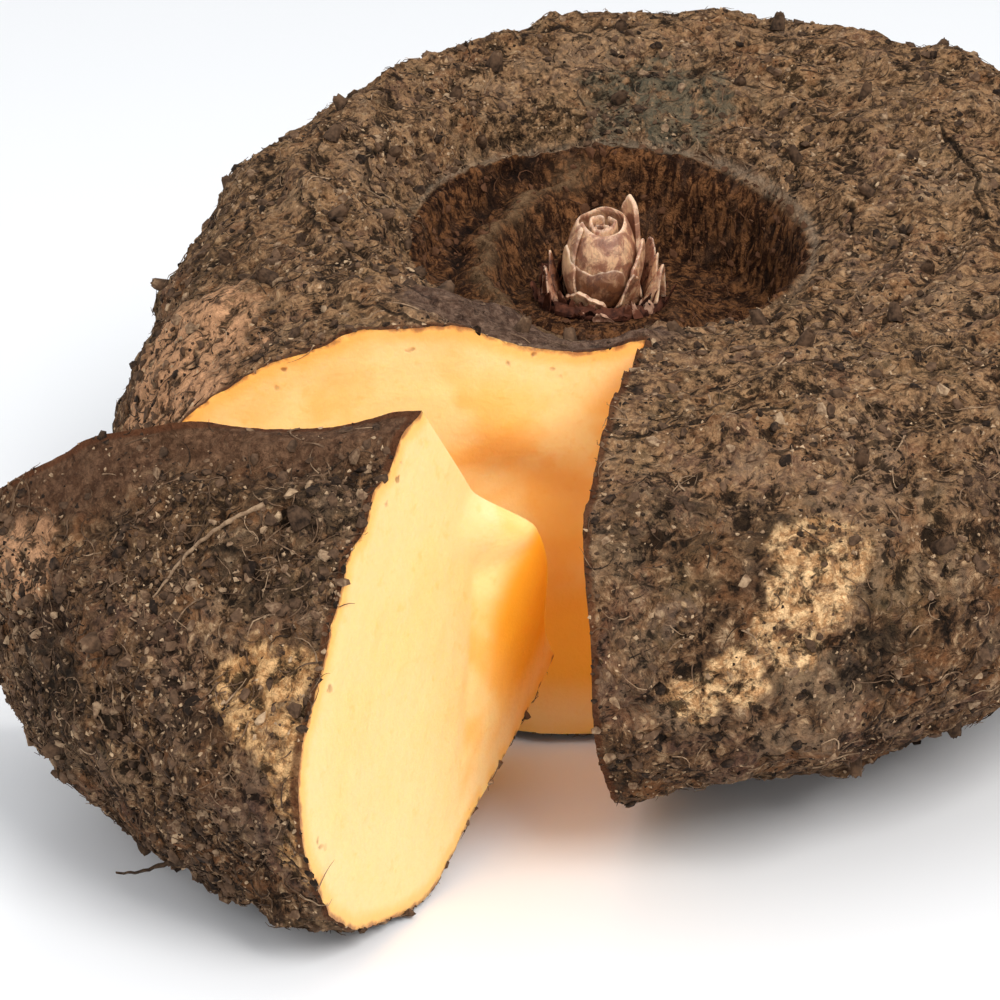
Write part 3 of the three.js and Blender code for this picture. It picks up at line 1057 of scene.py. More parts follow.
@dataclass
class CutForm:
    """The two knife cuts and the relief of the flesh on either side of them."""

    corner: tuple[float, float] = (12.8, -41.7)
    back_angle: float = 184.3
    side_angle: float = 257
    heel_height: float = 8.6
    face_fall: float = 2
    wall_hollow: float = 1.5
    wall_lean: float = 5
    puff_height: float = 3
    crease_depth: float = 2.0
    foot_swell: float = 8

    def heel(self, out: np.ndarray, height: np.ndarray) -> np.ndarray:
        """Heel beside the inner edge of the side cut.

        Args:
            out: distances from the corner.
            height: heights.

        Returns:
            The relief in millimetres.
        """
        top = self.heel_height * smooth_step(2, 38, height) * (1 - smooth_step(40, 49, height))
        width = np.maximum(9, 9 + 1.24 * (37 - height))
        share = np.clip(out / width, 0, 1)
        return top * (1 - share * share * (3 - 2 * share))

    def chunk_side(self, out: np.ndarray, height: np.ndarray) -> np.ndarray:
        """Relief of the chunk's side face."""
        beyond = 0.63 * (out - 9) + 0.78 * (height - 37)
        return self.heel(out, height) - self.face_fall * smooth_step(0, 30, beyond)

    def chunk_back(self, out: np.ndarray, height: np.ndarray) -> np.ndarray:
        """Relief of the chunk's back face."""
        return 0.7 * np.sin(0.09 * out + 0.4) * np.sin(0.11 * height)

    def notch_side(self, out: np.ndarray, height: np.ndarray) -> np.ndarray:
        """Relief of the notch's side wall."""
        hollow = self.wall_hollow * smooth_step(20, 60, out) * (1 - smooth_step(0, 50, height))
        return self.heel(out, height) + hollow - self.wall_lean * smooth_step(42, 72, height)

    def notch_back(self, out: np.ndarray, height: np.ndarray) -> np.ndarray:
        """Relief of the notch's back wall.

        Args:
            out: distances from the corner.
            height: heights.

        Returns:
            The relief in millimetres.
        """
        puff = self.puff_height * hump(np.hypot(out - 29, 0.9 * (height - 58)), 9)
        bend = height - 47 + 0.03 * (out - 30) ** 2
        crease = self.crease_depth * hump(bend, 6.5) * (1 - smooth_step(30, 42, out))
        foot = self.foot_swell * (1 - smooth_step(0, 26, height)) * (1 - smooth_step(22, 42, out))
        return puff - crease + foot

    def gap(self, point: np.ndarray) -> np.ndarray:
        """Distance of grown points from the nearer of the two cuts, in millimetres.

        Args:
            point: grown points.

        Returns:
            The distances.
        """
        offset = point - np.array([*self.corner, 0.0])
        side, back = heading(self.side_angle), heading(self.back_angle)
        beside = np.hypot(offset @ heading(self.side_angle + 90), np.minimum(offset @ side, 0))
        behind = np.hypot(offset @ heading(self.back_angle + 90), np.minimum(offset @ back, 0))
        return np.minimum(beside, behind)

    def worn_rim(self, point: np.ndarray) -> np.ndarray:
        """Worn smooth band of the corm, between the basin and the back cut, painted partly dark as the shade
        in front of the basin.
        """
        reach = np.hypot((point[:, 0] + 10) / 27, (point[:, 1] + 33) / 13)
        return (1 - smooth_step(0.75, 1.1, reach)) * (point[:, 2] > 58)

    def worn_top(self, point: np.ndarray) -> np.ndarray:
        """Worn smooth band of the chunk, along its back cut, painted dark as the shade on the chunk's top."""
        offset = point - np.array([*self.corner, 0.0])
        away = np.abs(offset @ heading(self.back_angle + 90)) + 1.5 * np.sin(0.2 * point[:, 0])
        return (1 - smooth_step(6, 14, away)) * smooth_step(56, 64, point[:, 2]) * smooth_step(-66, -52,
                                                                                               point[:, 0])


Relief = Callable[[np.ndarray, np.ndarray], np.ndarray]
Band = Callable[[np.ndarray], np.ndarray]


@dataclass
class Knife:
    """Body between the two cuts, with a fine relief on its side and back faces."""

    cut: CutForm
    side_relief: Relief
    back_relief: Relief
    step: float = 1.15
    side_reach: float = 96
    back_reach: float = 122
    far_reach: float = 165
    low: float = -12
    high: float = 108
    roughness: float = 0.05

    def make(self) -> Object:
        """The closed knife body.

        Returns:
            The knife.
        """
        side_count, back_count = round(self.side_reach / self.step), round(self.back_reach / self.step)
        rows = round((self.high - self.low) / self.step)
        deselect()
        bpy.ops.mesh.primitive_grid_add(x_subdivisions=side_count + back_count + 2, y_subdivisions=rows,
                                        size=2)
        sheet = take("knife")
        flat = places_of(sheet) * MM
        column = np.rint((flat[:, 0] + 1) / 2 * (side_count + back_count + 2))
        height = self.low + (flat[:, 1] + 1) / 2 * (self.high - self.low)
        side = np.clip((side_count + 1 - column) * self.step, 0, None)
        side[column == 0] = self.far_reach
        back = np.clip((column - side_count - 1) * self.step, 0, None)
        back[column == side_count + back_count + 2] = self.far_reach
        to_side = self.side_relief(side, height) * (1 - smooth_step(0, 18, back))
        to_front = self.back_relief(back, height) * (1 - smooth_step(0, 12, side))
        marks = self.roughness * (np.sin(1.1 * height + 0.35 * (side + back))
                                  * np.sin(0.31 * (side - back) + 1.0)
                                  + 0.8 * np.sin(0.47 * height - 0.22 * (side + back)))
        to_side = to_side + marks * (side > 0)
        to_front = to_front + marks * (back > 0)
        places = np.zeros((len(flat), 3))
        places[:, :2] = self.cut.corner
        places[:, 2] = height
        places += back[:, None] * heading(self.cut.back_angle) + side[:, None] * heading(self.cut.side_angle)
        places += to_side[:, None] * heading(self.cut.side_angle + 90)
        places += to_front[:, None] * heading(self.cut.back_angle + 90)
        set_places(sheet, places)
        away = (heading(self.cut.back_angle) + heading(self.cut.side_angle)) * 170 * MM
        activate(sheet)
        bpy.ops.object.mode_set(mode="EDIT")
        bpy.ops.mesh.select_all(action="SELECT")
        bpy.ops.mesh.extrude_region_move(TRANSFORM_OT_translate={"value": tuple(away)})
        bpy.ops.mesh.select_all(action="SELECT")
        bpy.ops.mesh.normals_make_consistent(inside=False)
        bpy.ops.object.mode_set(mode="OBJECT")
        return sheet


# Cut bodies


@dataclass
class Lumps:
    """One layer of fine relief that a procedural texture presses into the skin."""

    kind: str
    size: float
    strength: float
    depth: int = 2
    level: float = 0.5

    def press(self, piece: Object, group: str) -> None:
        """Displaces a piece along its normals.

        Args:
            piece: piece to displace.
            group: vertex group that says how strongly.
        """
        texture = bpy.data.textures.new(f"{piece.name}_{self.kind.lower()}", self.kind)
        texture.noise_scale = self.size * MM
        if self.kind == "CLOUDS":
            texture.noise_depth = self.depth
        modifier = piece.modifiers.new("lumps", "DISPLACE")
        modifier.texture = texture
        modifier.texture_coords = "LOCAL"
        modifier.strength = self.strength * MM
        modifier.mid_level = self.level
        modifier.vertex_group = group
        apply_modifier(piece, modifier)
        bpy.data.textures.remove(texture)


@dataclass
class YamBody:
    """A cut body: the skin ball, pressed with lumps and cut by a knife."""

    name: str
    node: str
    slot: Slot
    form: SkinForm
    knife: Knife
    keep_inside: bool
    worn: Band
    columns: int
    dense_angle: float
    dense_width: float
    dense_gain: float
    row_step: float
    sink: float = 0.7
    lumps: tuple[Lumps, ...] = (
        Lumps("CLOUDS", 8.0, 2.2, 2, 0.55), Lumps("VORONOI", 3.3, -1.2, level=0.4),
        Lumps("CLOUDS", 2.1, 2.2, 4, 0.5))

    def stations(self) -> np.ndarray:
        """Stations of the rows, close on the sides and crown and wide underneath.

        Returns:
            The stations, from 0 to 2.
        """
        fine = np.linspace(0, 2, 4001)
        path = self.form.smooth(np.full(4001, -math.pi / 2), fine)
        length = np.linalg.norm(np.diff(path, axis=0), axis=1)
        middle = (fine[1:] + fine[:-1]) / 2
        gap = np.where(middle < 0.2, 5.0, self.row_step)
        gap = gap * (1 + 1.2 * smooth_step(1.35, 1.95, middle))
        weight = np.concatenate([[0], np.cumsum(length / gap)])
        rows = int(weight[-1])
        return np.interp(np.linspace(0, weight[-1], rows + 1), weight, fine)

    def angles(self) -> np.ndarray:
        """Angles of the columns, closer together on the side that is dense.

        Returns:
            The angles, once round.
        """
        fine = np.linspace(0, 2 * math.pi, 3601)
        off = np.abs((fine + 1.5 * math.pi - math.radians(self.dense_angle)) % (2 * math.pi) - math.pi)
        weight = 1 + self.dense_gain * (1 - smooth_step(self.dense_width, self.dense_width + 0.5, off))
        total = np.concatenate([[0], np.cumsum((weight[1:] + weight[:-1]) / 2)])
        return np.interp(np.linspace(0, total[-1], self.columns + 1), total, fine)[:-1] + math.pi / 2

    def ball(self) -> Object:
        """The closed skin, with its lumps: a sheet rolled up, closed along its seam and at its poles.

        Returns:
            The skin.
        """
        stations, angles = self.stations(), self.angles()
        rows = len(stations) - 1
        deselect()
        bpy.ops.mesh.primitive_grid_add(x_subdivisions=self.columns, y_subdivisions=rows, size=2)
        piece = take(self.name)
        flat = places_of(piece) * MM
        column = np.rint((flat[:, 0] + 1) / 2 * self.columns).astype(int) % self.columns
        row = np.rint((flat[:, 1] + 1) / 2 * rows).astype(int)
        angle, station = angles[column], stations[row]
        places = self.form.skin(angle, station)
        pole = (row == 0) | (row == rows)
        places[pole] = self.form.smooth(np.zeros(pole.sum()), station[pole])
        set_places(piece, places)
        store(piece, "station", station)
        store(piece, "basin", smooth_step(0.985, 1.04, station))
        store(piece, "top", smooth_step(0.45, 0.72, station))
        lip, crack = self.form.ledge(places, station)
        store(piece, "ledge", lip)
        store(piece, "crack", crack)
        store(piece, "lip",
              hump(station - 0.985, 0.022) * smooth_step(-0.5, 0.3, np.sin(angle) + 0.4 * np.cos(angle)))
        store(piece, "worn", self.worn(places))
        activate(piece)
        bpy.ops.object.mode_set(mode="EDIT")
        bpy.ops.mesh.select_all(action="SELECT")
        bpy.ops.mesh.remove_doubles(threshold=1e-7)
        bpy.ops.object.mode_set(mode="OBJECT")
        station, normals = read(piece, "station"), np.zeros(len(piece.data.vertices) * 3, np.float32)
        piece.data.vertices.foreach_get("normal", normals)
        normals = normals.reshape(-1, 3).astype(float)
        before = places_of(piece)
        before -= self.sink * normals * (smooth_step(0.5, 6, before[:, 2]) * (station < 1.02))[:, None]
        set_places(piece, before)
        rough = smooth_step(0.3, 6, before[:, 2]) * (1 - 0.3 * smooth_step(1.0, 1.12, station))
        seat = np.hypot(before[:, 0] - self.form.bud_place[0], before[:, 1] - self.form.bud_place[1])
        rough *= np.where(station > 1, 0.35 + 0.65 * smooth_step(11, 17, seat), 1)
        rough *= 0.45 + 0.55 * smooth_step(1, 8, self.knife.cut.gap(before))
        rough *= 1 - 0.6 * read(piece, "worn")
        group = piece.vertex_groups.new(name="rough")
        for level in range(1, 21):
            chosen = np.nonzero(np.rint(rough * 20) == level)[0]
            group.add(chosen.tolist(), level / 20, "REPLACE")
        for layer in self.lumps:
            layer.press(piece, "rough")
        store(piece, "lift", np.einsum("ij,ij->i", places_of(piece) - before, normals))
        return piece

    def cut(self, ball: Object) -> Object:
        """Cuts the ball and keeps the depth under the skin on the flesh.

        Args:
            ball: the closed skin.

        Returns:
            The cut body, with skin and flesh faces.
        """
        tree = KDTree(len(ball.data.vertices))
        for index, vertex in enumerate(ball.data.vertices):
            tree.insert(vertex.co, index)
        tree.balance()
        knife = self.knife.make()
        for piece in (ball, knife):
            piece.data.materials.clear()
            piece.data.materials.append(bpy.data.materials["Skin"])
            piece.data.materials.append(bpy.data.materials["Flesh"])
        knife.data.polygons.foreach_set("material_index",
                                        np.full(len(knife.data.polygons), Face.FLESH.value, np.int32))
        modifier = ball.modifiers.new("cut", "BOOLEAN")
        modifier.operation = "INTERSECT" if self.keep_inside else "DIFFERENCE"
        modifier.solver = "MANIFOLD"
        modifier.object = knife
        apply_modifier(ball, modifier)
        remove(knife)
        mesh = ball.data
        kinds = np.zeros(len(mesh.polygons), np.int32)
        mesh.polygons.foreach_get("material_index", kinds)
        rind = np.zeros(len(mesh.vertices))
        touched: set[int] = set()
        for polygon, kind in zip(mesh.polygons, kinds):
            if kind == Face.FLESH.value:
                touched.update(polygon.vertices)
        for index in touched:
            rind[index] = tree.find(mesh.vertices[index].co)[2] / MM
        store(ball, "rind", rind)
        store(ball, "edge", self.edge(ball, sorted(touched)))
        LOG.info("%s: %d faces, %d of them flesh", self.name, len(kinds),
                 int((kinds == Face.FLESH.value).sum()))
        return ball

    def edge(self, ball: Object, flesh: Sequence[int]) -> np.ndarray:
        """Closeness of the skin to the cut edge.

        Args:
            ball: the cut body.
            flesh: vertices of its flesh.

        Returns:
            One share per vertex, 1 at the edge.
        """
        tree = KDTree(len(flesh))
        for order, index in enumerate(flesh):
            tree.insert(ball.data.vertices[index].co, order)
        tree.balance()
        gaps = np.array([tree.find(vertex.co)[2] for vertex in ball.data.vertices]) / MM
        return 1 - smooth_step(0.4, 2.6, gaps)


@dataclass
class Pose:
    """Pose of the drawn out chunk, by the foot of its inner edge."""

    foot: tuple[float, float, float] = (-7.4, -60.6, 21.5)
    tip: float = 32.6
    roll: float = -10.6
    turn: float = -14.7

    def matrix(self) -> np.ndarray:
        """Turning matrix of the pose."""
        turned = (Matrix.Rotation(math.radians(self.turn), 3, "Z")
                  @ Matrix.Rotation(math.radians(self.roll), 3, "Y")
                  @ Matrix.Rotation(math.radians(self.tip), 3, "X"))
        return np.array(turned)

    def lay(self, places: np.ndarray, corner: tuple[float, float]) -> np.ndarray:
        """Places of the chunk after it is drawn out.

        Args:
            places: places where it grew.
            corner: corner of the cuts.

        Returns:
            Places where it lies.
        """
        return (places - np.array([*corner, 0.0])) @ self.matrix().T + np.array(self.foot)


# Scattered parts


@dataclass
class Surface:
    """Skin faces of a body, which small parts are scattered on."""

    piece: Object
    bare: tuple[Spot, ...] = ()
    centre: np.ndarray = field(init=False)
    normal: np.ndarray = field(init=False)
    area: np.ndarray = field(init=False)
    basin: np.ndarray = field(init=False)
    worn: np.ndarray = field(init=False)
    tree: BVHTree = field(init=False)

    def __post_init__(self) -> None:
        """Reads the skin faces once, and clears the bare spots."""
        mesh = self.piece.data
        count = len(mesh.polygons)
        centre, normal = np.zeros(count * 3, np.float32), np.zeros(count * 3, np.float32)
        area, kind = np.zeros(count, np.float32), np.zeros(count, np.int32)
        mesh.polygons.foreach_get("center", centre)
        mesh.polygons.foreach_get("normal", normal)
        mesh.polygons.foreach_get("area", area)
        mesh.polygons.foreach_get("material_index", kind)
        centre = centre.reshape(-1, 3) / MM
        chosen = (kind == Face.SKIN.value) & (centre[:, 2] > 0.8)
        first = np.zeros(count, np.int32)
        mesh.polygons.foreach_get("loop_start", first)
        corner = np.zeros(len(mesh.loops), np.int32)
        mesh.loops.foreach_get("vertex_index", corner)
        self.centre, self.normal = centre[chosen].astype(float), normal.reshape(-1, 3)[chosen].astype(float)
        self.area = area[chosen].astype(float)
        for place, radius in self.bare:
            self.area *= 1 - 0.85 * hump(np.linalg.norm(self.centre - np.array(place), axis=1), radius)
        self.basin = read(self.piece, "basin")[corner[first]][chosen]
        self.worn = read(self.piece, "worn")[corner[first]][chosen]
        self.tree = BVHTree.FromPolygons([v.co for v in mesh.vertices],
                                         [p.vertices[:] for p in mesh.polygons])

    def gap(self, place: np.ndarray) -> float:
        """Distance of a place from the nearest skin face, in millimetres."""
        return float(np.sqrt(((self.centre - place) ** 2).sum(1).min()))

    def pick(self, count: int, dice: np.random.Generator, weight: Optional[np.ndarray] = None) -> np.ndarray:
        """Random faces, by area and an optional weight."""
        chance = self.area * (1 if weight is None else weight)
        return dice.choice(len(chance), count, p=chance / chance.sum())


def frames_of(normals: np.ndarray, dice: np.random.Generator, tilt: float) -> np.ndarray:
    """Random upright frames on normals.

    Args:
        normals: unit normals.
        dice: random numbers.
        tilt: how far each one leans, as a share.

    Returns:
        One matrix per normal, whose columns are its axes.
    """
    up = normals + dice.normal(0, tilt, normals.shape)
    up /= np.linalg.norm(up, axis=1, keepdims=True)
    side = np.cross(up, dice.normal(0, 1, normals.shape))
    side /= np.linalg.norm(side, axis=1, keepdims=True)
    return np.stack([side, np.cross(up, side), up], 2)


@dataclass
class Crumbs:
    """Broken flakes of old scale that cling to the skin."""

    name: str
    count: int
    seed: int
    smallest: float = 0.35
    largest: float = 1.6
    power: float = 3.4
    grit: bool = False

    def flake(self, seed: int) -> tuple[np.ndarray, np.ndarray]:
        """One ragged flake.

        Args:
            seed: seed of its shape.

        Returns:
            Its unit places and faces.
        """
        deselect()
        if self.grit:
            bpy.ops.mesh.primitive_cone_add(vertices=4, radius1=1, radius2=0, depth=1.6)
        else:
            bpy.ops.mesh.primitive_ico_sphere_add(subdivisions=1, radius=1)
        flake = take("flake")
        bpy.ops.object.mode_set(mode="EDIT")
        bpy.ops.mesh.select_all(action="SELECT")
        bpy.ops.mesh.quads_convert_to_tris()
        bpy.ops.transform.resize(value=(1.0, 0.7, 0.5))
        bpy.ops.transform.vertex_random(offset=0.34, seed=seed)
        bpy.ops.object.mode_set(mode="OBJECT")
        places = places_of(flake) * MM
        faces = np.array([polygon.vertices[:] for polygon in flake.data.polygons])
        remove(flake)
        return places, faces

    def make(self, surface: Surface, finish: Material) -> Object:
        """Scatters the flakes.

        Args:
            surface: skin they cling to.
            finish: their material.

        Returns:
            One piece with all the flakes.
        """
        dice = np.random.default_rng(self.seed)
        flakes = [self.flake(seed) for seed in range(5)]
        crowd = 0.25 + smooth_step(-0.4, 0.6, np.sin(0.11 * surface.centre @ np.array([1.0, 0.7, 1.3]))
                                   * np.sin(0.13 * surface.centre @ np.array([-0.6, 1.0, 0.8]) + 1))
        chosen = surface.pick(self.count, dice, crowd * (1 - 0.5 * surface.basin) * (1 - 0.85 * surface.worn))
        frames = frames_of(surface.normal[chosen], dice, 0.35)
        sizes = self.smallest + (self.largest - self.smallest) * dice.random(self.count) ** self.power
        kinds = dice.integers(0, len(flakes), self.count)
        tones = np.clip(dice.normal(0.34, 0.22, self.count), 0, 1)
        # Partly painted highlight: much of the grit is pale, standing for small glints on the skin as well as
        # real pale specks.
        if self.grit:
            tones = np.where(dice.random(self.count) < 0.55, 0.08,
                             np.clip(dice.normal(0.8, 0.15, self.count), 0, 1))
        tones = tones * (1 - 0.4 * surface.basin[chosen])
        wells = surface.basin[chosen]
        all_places, all_faces, all_tones, all_wells, total = [], [], [], [], 0
        for kind, (places, faces) in enumerate(flakes):
            mine = np.nonzero(kinds == kind)[0]
            local = places[None] * sizes[mine, None, None]
            local[..., 2] += 0.1 * sizes[mine, None]
            world = np.einsum("nij,nkj->nki", frames[mine], local) + surface.centre[chosen[mine], None]
            all_places.append(world.reshape(-1, 3))
            all_faces.append((faces[None]
                              + (total + np.arange(len(mine)) * len(places))[:, None, None]).reshape(-1, 3))
            all_tones.append(np.repeat(tones[mine], len(places)))
            all_wells.append(np.repeat(wells[mine], len(places)))
            total += len(mine) * len(places)
        places = np.vstack(all_places)
        places[:, 2] = np.maximum(places[:, 2], 0.05)
        piece = mesh_piece(self.name, places, np.vstack(all_faces).tolist())
        store(piece, "tone", np.concatenate(all_tones))
        store(piece, "basin", np.concatenate(all_wells))
        piece.data.materials.append(finish)
        return piece


@dataclass
class Rootlets:
    """Fine dry roots that lie along the skin, with tips that lift."""

    name: str
    count: int
    seed: int
    steps: int = 5
    step_length: float = 0.95
    radius: float = 0.15
    lift: float = 0.32

    def make(self, surface: Surface, finish: Material) -> Object:
        """Lays the rootlets.

        Args:
            surface: skin they lie on.
            finish: their material.

        Returns:
            One piece with all the rootlets.
        """
        dice = np.random.default_rng(self.seed)
        chosen = surface.pick(self.count, dice, (1 - 0.6 * surface.basin) * (1 - 0.8 * surface.worn))
        count = self.count
        tones = np.clip(dice.normal(0.38, 0.22, count), 0, 1) * (1 - 0.6 * surface.basin[chosen])
        point, up = surface.centre[chosen].copy(), surface.normal[chosen].copy()
        along = np.cross(up, dice.normal(0, 1, (count, 3)))
        along /= np.linalg.norm(along, axis=1, keepdims=True)
        length = self.step_length * (0.5 + dice.random((count, 1)))
        curl = dice.normal(0, 0.35, (count, 1))
        thick = self.radius * (0.6 + 0.8 * dice.random((count, 1)))
        rings = []
        for step in range(self.steps + 1):
            found = [surface.tree.find_nearest(Vector(place)) for place in point * MM]
            up = np.array([hit[1] for hit in found], float)
            share = step / self.steps
            point = np.array([hit[0] for hit in found],
                             float) / MM + up * self.lift * (0.3 + 1.6 * share * share)
            side = np.cross(up, along)
            side /= np.maximum(np.linalg.norm(side, axis=1, keepdims=True), 1e-6)
            girth = thick * (1 - 0.75 * share)
            rings.append(np.stack([point + girth * (side * math.cos(turn) + up * math.sin(turn))
                                   for turn in (0, 2 * math.pi / 3, 4 * math.pi / 3)], 1))
            along = along + curl * side
            along -= up * np.einsum("ij,ij->i", up, along)[:, None]
            along /= np.maximum(np.linalg.norm(along, axis=1, keepdims=True), 1e-6)
            point = point + along * length
        places = np.stack(rings, 1).reshape(-1, 3)
        places[:, 2] = np.maximum(places[:, 2], 0.05)
        walls = [(3 * step + corner, 3 * step + (corner + 1) % 3, 3 * step + 3 + (corner + 1) % 3,
                  3 * step + 3 + corner)
                 for step in range(self.steps) for corner in range(3)]
        last = 3 * self.steps
        ends = [(2, 1, 0), (last, last + 1, last + 2)]
        stride = 3 * (self.steps + 1)
        faces = [tuple(start + corner for corner in wall) for start in range(0, count * stride, stride)
                 for wall in (*walls, *ends)]
        piece = mesh_piece(self.name, places, faces)
        store(piece, "tone", np.repeat(tones, stride))
        store(piece, "basin", np.repeat(surface.basin[chosen], stride))
        piece.data.materials.append(finish)
        return piece


@dataclass
class RootStubs:
    """Blunt ends of old roots, each with a sunken scar, at golden angle steps over the skin."""

    form: SkinForm
    cut: CutForm
    count: int = 90
    length: float = 4.0
    radius: float = 2.1
    margin: float = 7
    off_skin: float = 3.0

    def stub(self) -> tuple[np.ndarray, list[tuple[int, ...]]]:
        """One stub of unit radius and length, standing on its middle.

        Returns:
            Its places and faces.
        """
        deselect()
        bpy.ops.mesh.primitive_cylinder_add(vertices=14, radius=1, depth=1)
        stub = take("stub")
        bpy.ops.object.mode_set(mode="EDIT")
        bpy.ops.mesh.select_all(action="DESELECT")
        bpy.ops.object.mode_set(mode="OBJECT")
        for polygon in stub.data.polygons:
            polygon.select = polygon.normal.z > 0.9
        bpy.ops.object.mode_set(mode="EDIT")
        bpy.ops.mesh.select_mode(type="FACE")
        bpy.ops.mesh.inset(thickness=0.22, depth=0.10)
        bpy.ops.mesh.inset(thickness=0.26, depth=-0.14)
        bpy.ops.mesh.select_all(action="SELECT")
        bpy.ops.transform.vertex_random(offset=0.12, seed=4)
        bpy.ops.object.mode_set(mode="OBJECT")
        places = places_of(stub) * MM
        faces = [tuple(polygon.vertices) for polygon in stub.data.polygons]
        remove(stub)
        return places, faces

    def roots(self) -> tuple[np.ndarray, np.ndarray, np.ndarray, np.ndarray]:
        """Where the stubs stand.

        Returns:
            Their roots, axes and sizes, and which of them stand on the chunk.
        """
        order = np.arange(self.count)
        angle = order * GOLDEN_ANGLE + 0.9
        station = 0.24 + 0.66 * share_of(order * GOLDEN_SHARE * 2.3 + 0.17)
        root = self.form.skin(angle, station)
        lean = 0.3 * np.stack([np.sin(order * 1.7), np.cos(order * 2.3), np.full(self.count, -0.6)], 1)
        axis = self.form.normal(angle, station) + lean
        axis /= np.linalg.norm(axis, axis=1, keepdims=True)
        size = 0.6 + 0.4 * share_of(order * GOLDEN_SHARE * 5.1)
        offset = root - np.array([*self.cut.corner, 0.0])
        side, back = heading(self.cut.side_angle), heading(self.cut.back_angle)
        beside = (np.abs(offset @ heading(self.cut.side_angle + 90)) < self.margin) & (offset
                                                                                       @ side > -self.margin)
        behind = (np.abs(offset @ heading(self.cut.back_angle + 90)) < self.margin) & (offset
                                                                                       @ back > -self.margin)
        keep = ~(beside | behind)
        in_chunk = (offset @ side > 0) & (offset @ back > 0)
        return root[keep], axis[keep], size[keep], in_chunk[keep]

    def make(self, name: str, on_chunk: bool, pose: "Pose", surface: Surface,
             finish: Material) -> Object:
        """Stands the stubs of one body.

        Args:
            name: name of the piece.
            on_chunk: true for the chunk's stubs, false for the corm's.
            pose: pose of the drawn out chunk.
            surface: skin that the stubs have to stand on.
            finish: their material.

        Returns:
            One piece with the stubs.
        """
        dice = np.random.default_rng(5)
        unit, unit_faces = self.stub()
        root, axis, size, in_chunk = self.roots()
        chosen = np.nonzero(in_chunk == on_chunk)[0]
        frames = frames_of(axis, dice, 0.0)
        foot = pose.lay(root, self.cut.corner) if on_chunk else root
        near = np.array([surface.gap(place) for place in foot])
        chosen = [index for index in chosen if near[index] < self.off_skin]
        LOG.info("%s: %d stubs stand", name, len(chosen))
        places, faces, tones = [], [], []
        for start, index in enumerate(chosen):
            rise = np.clip(unit[:, 2] + 0.5, 0, 1)
            girth = self.radius * size[index] * (1 - rise) ** 0.7 + 0.42 * self.radius * rise
            local = unit.copy()
            local[:, :2] *= girth[:, None] * (1 + dice.normal(0, 0.08, (len(unit), 1)))
            local[:, 2] = self.length * (unit[:, 2] + 0.4 * size[index] - 0.35) * dice.uniform(0.6, 1.0)
            local[:, 0] += 0.5 * dice.normal() * rise
            places.append(root[index] + local @ frames[index].T)
            faces += [tuple(corner + start * len(unit) for corner in face) for face in unit_faces]
            tones.append(0.12 + dice.uniform(0.1, 0.45) * rise**4)
        placed = np.vstack(places)
        if on_chunk:
            placed = pose.lay(placed, self.cut.corner)
        placed[:, 2] = np.maximum(placed[:, 2], 0.05)
        piece = mesh_piece(name, placed, faces)
        store(piece, "tone", np.concatenate(tones))
        store(piece, "basin", np.zeros(len(placed)))
        piece.data.materials.append(finish)
        smooth_by_angle(piece, 50)
        return piece


@dataclass
class LongRoot:
    """A longer dry root that lies along the skin through given places."""

    name: str
    path: tuple[tuple[float, float, float], ...]
    thick: float = 0.55
    lift: float = 0.5
    loose_end: int = 0
    tone: float = 0.5

    def make(self, surface: Surface, finish: Material) -> Object:
        """Lays the root.

        Args:
            surface: skin it lies on.
            finish: its material.

        Returns:
            The root.
        """
        line = bpy.data.curves.new(self.name, "CURVE")
        line.dimensions = "3D"
        line.bevel_depth, line.bevel_resolution = self.thick * MM, 2
        line.resolution_u = 6
        line.use_fill_caps = True
        spline = line.splines.new("BEZIER")
        spline.bezier_points.add(len(self.path) - 1)
        for order, (point, place) in enumerate(zip(spline.bezier_points, self.path)):
            spot = Vector(place) * MM
            if order < len(self.path) - self.loose_end:
                found = surface.tree.find_nearest(spot)
                spot = found[0] + found[1] * self.lift * MM
            point.co = spot
            point.handle_left_type = point.handle_right_type = "AUTO"
            point.radius = 1 - 0.6 * order / (len(self.path) - 1)
        root = bpy.data.objects.new(self.name, line)
        bpy.context.scene.collection.objects.link(root)
        activate(root)
        bpy.ops.object.convert(target="MESH")
        root = bpy.context.object
        tidy_normals(root)
        places = places_of(root)
        places += 0.12 * np.sin(places[:, [1, 2, 0]] * 3.1)
        places[:, 2] = np.maximum(places[:, 2], 0.05)
        set_places(root, places)
        store(root, "tone", np.full(len(places), self.tone))
        store(root, "basin", np.zeros(len(places)))
        root.data.materials.clear()
        root.data.materials.append(finish)
        smooth_by_angle(root, 60)
        return root


# Shoot and collar


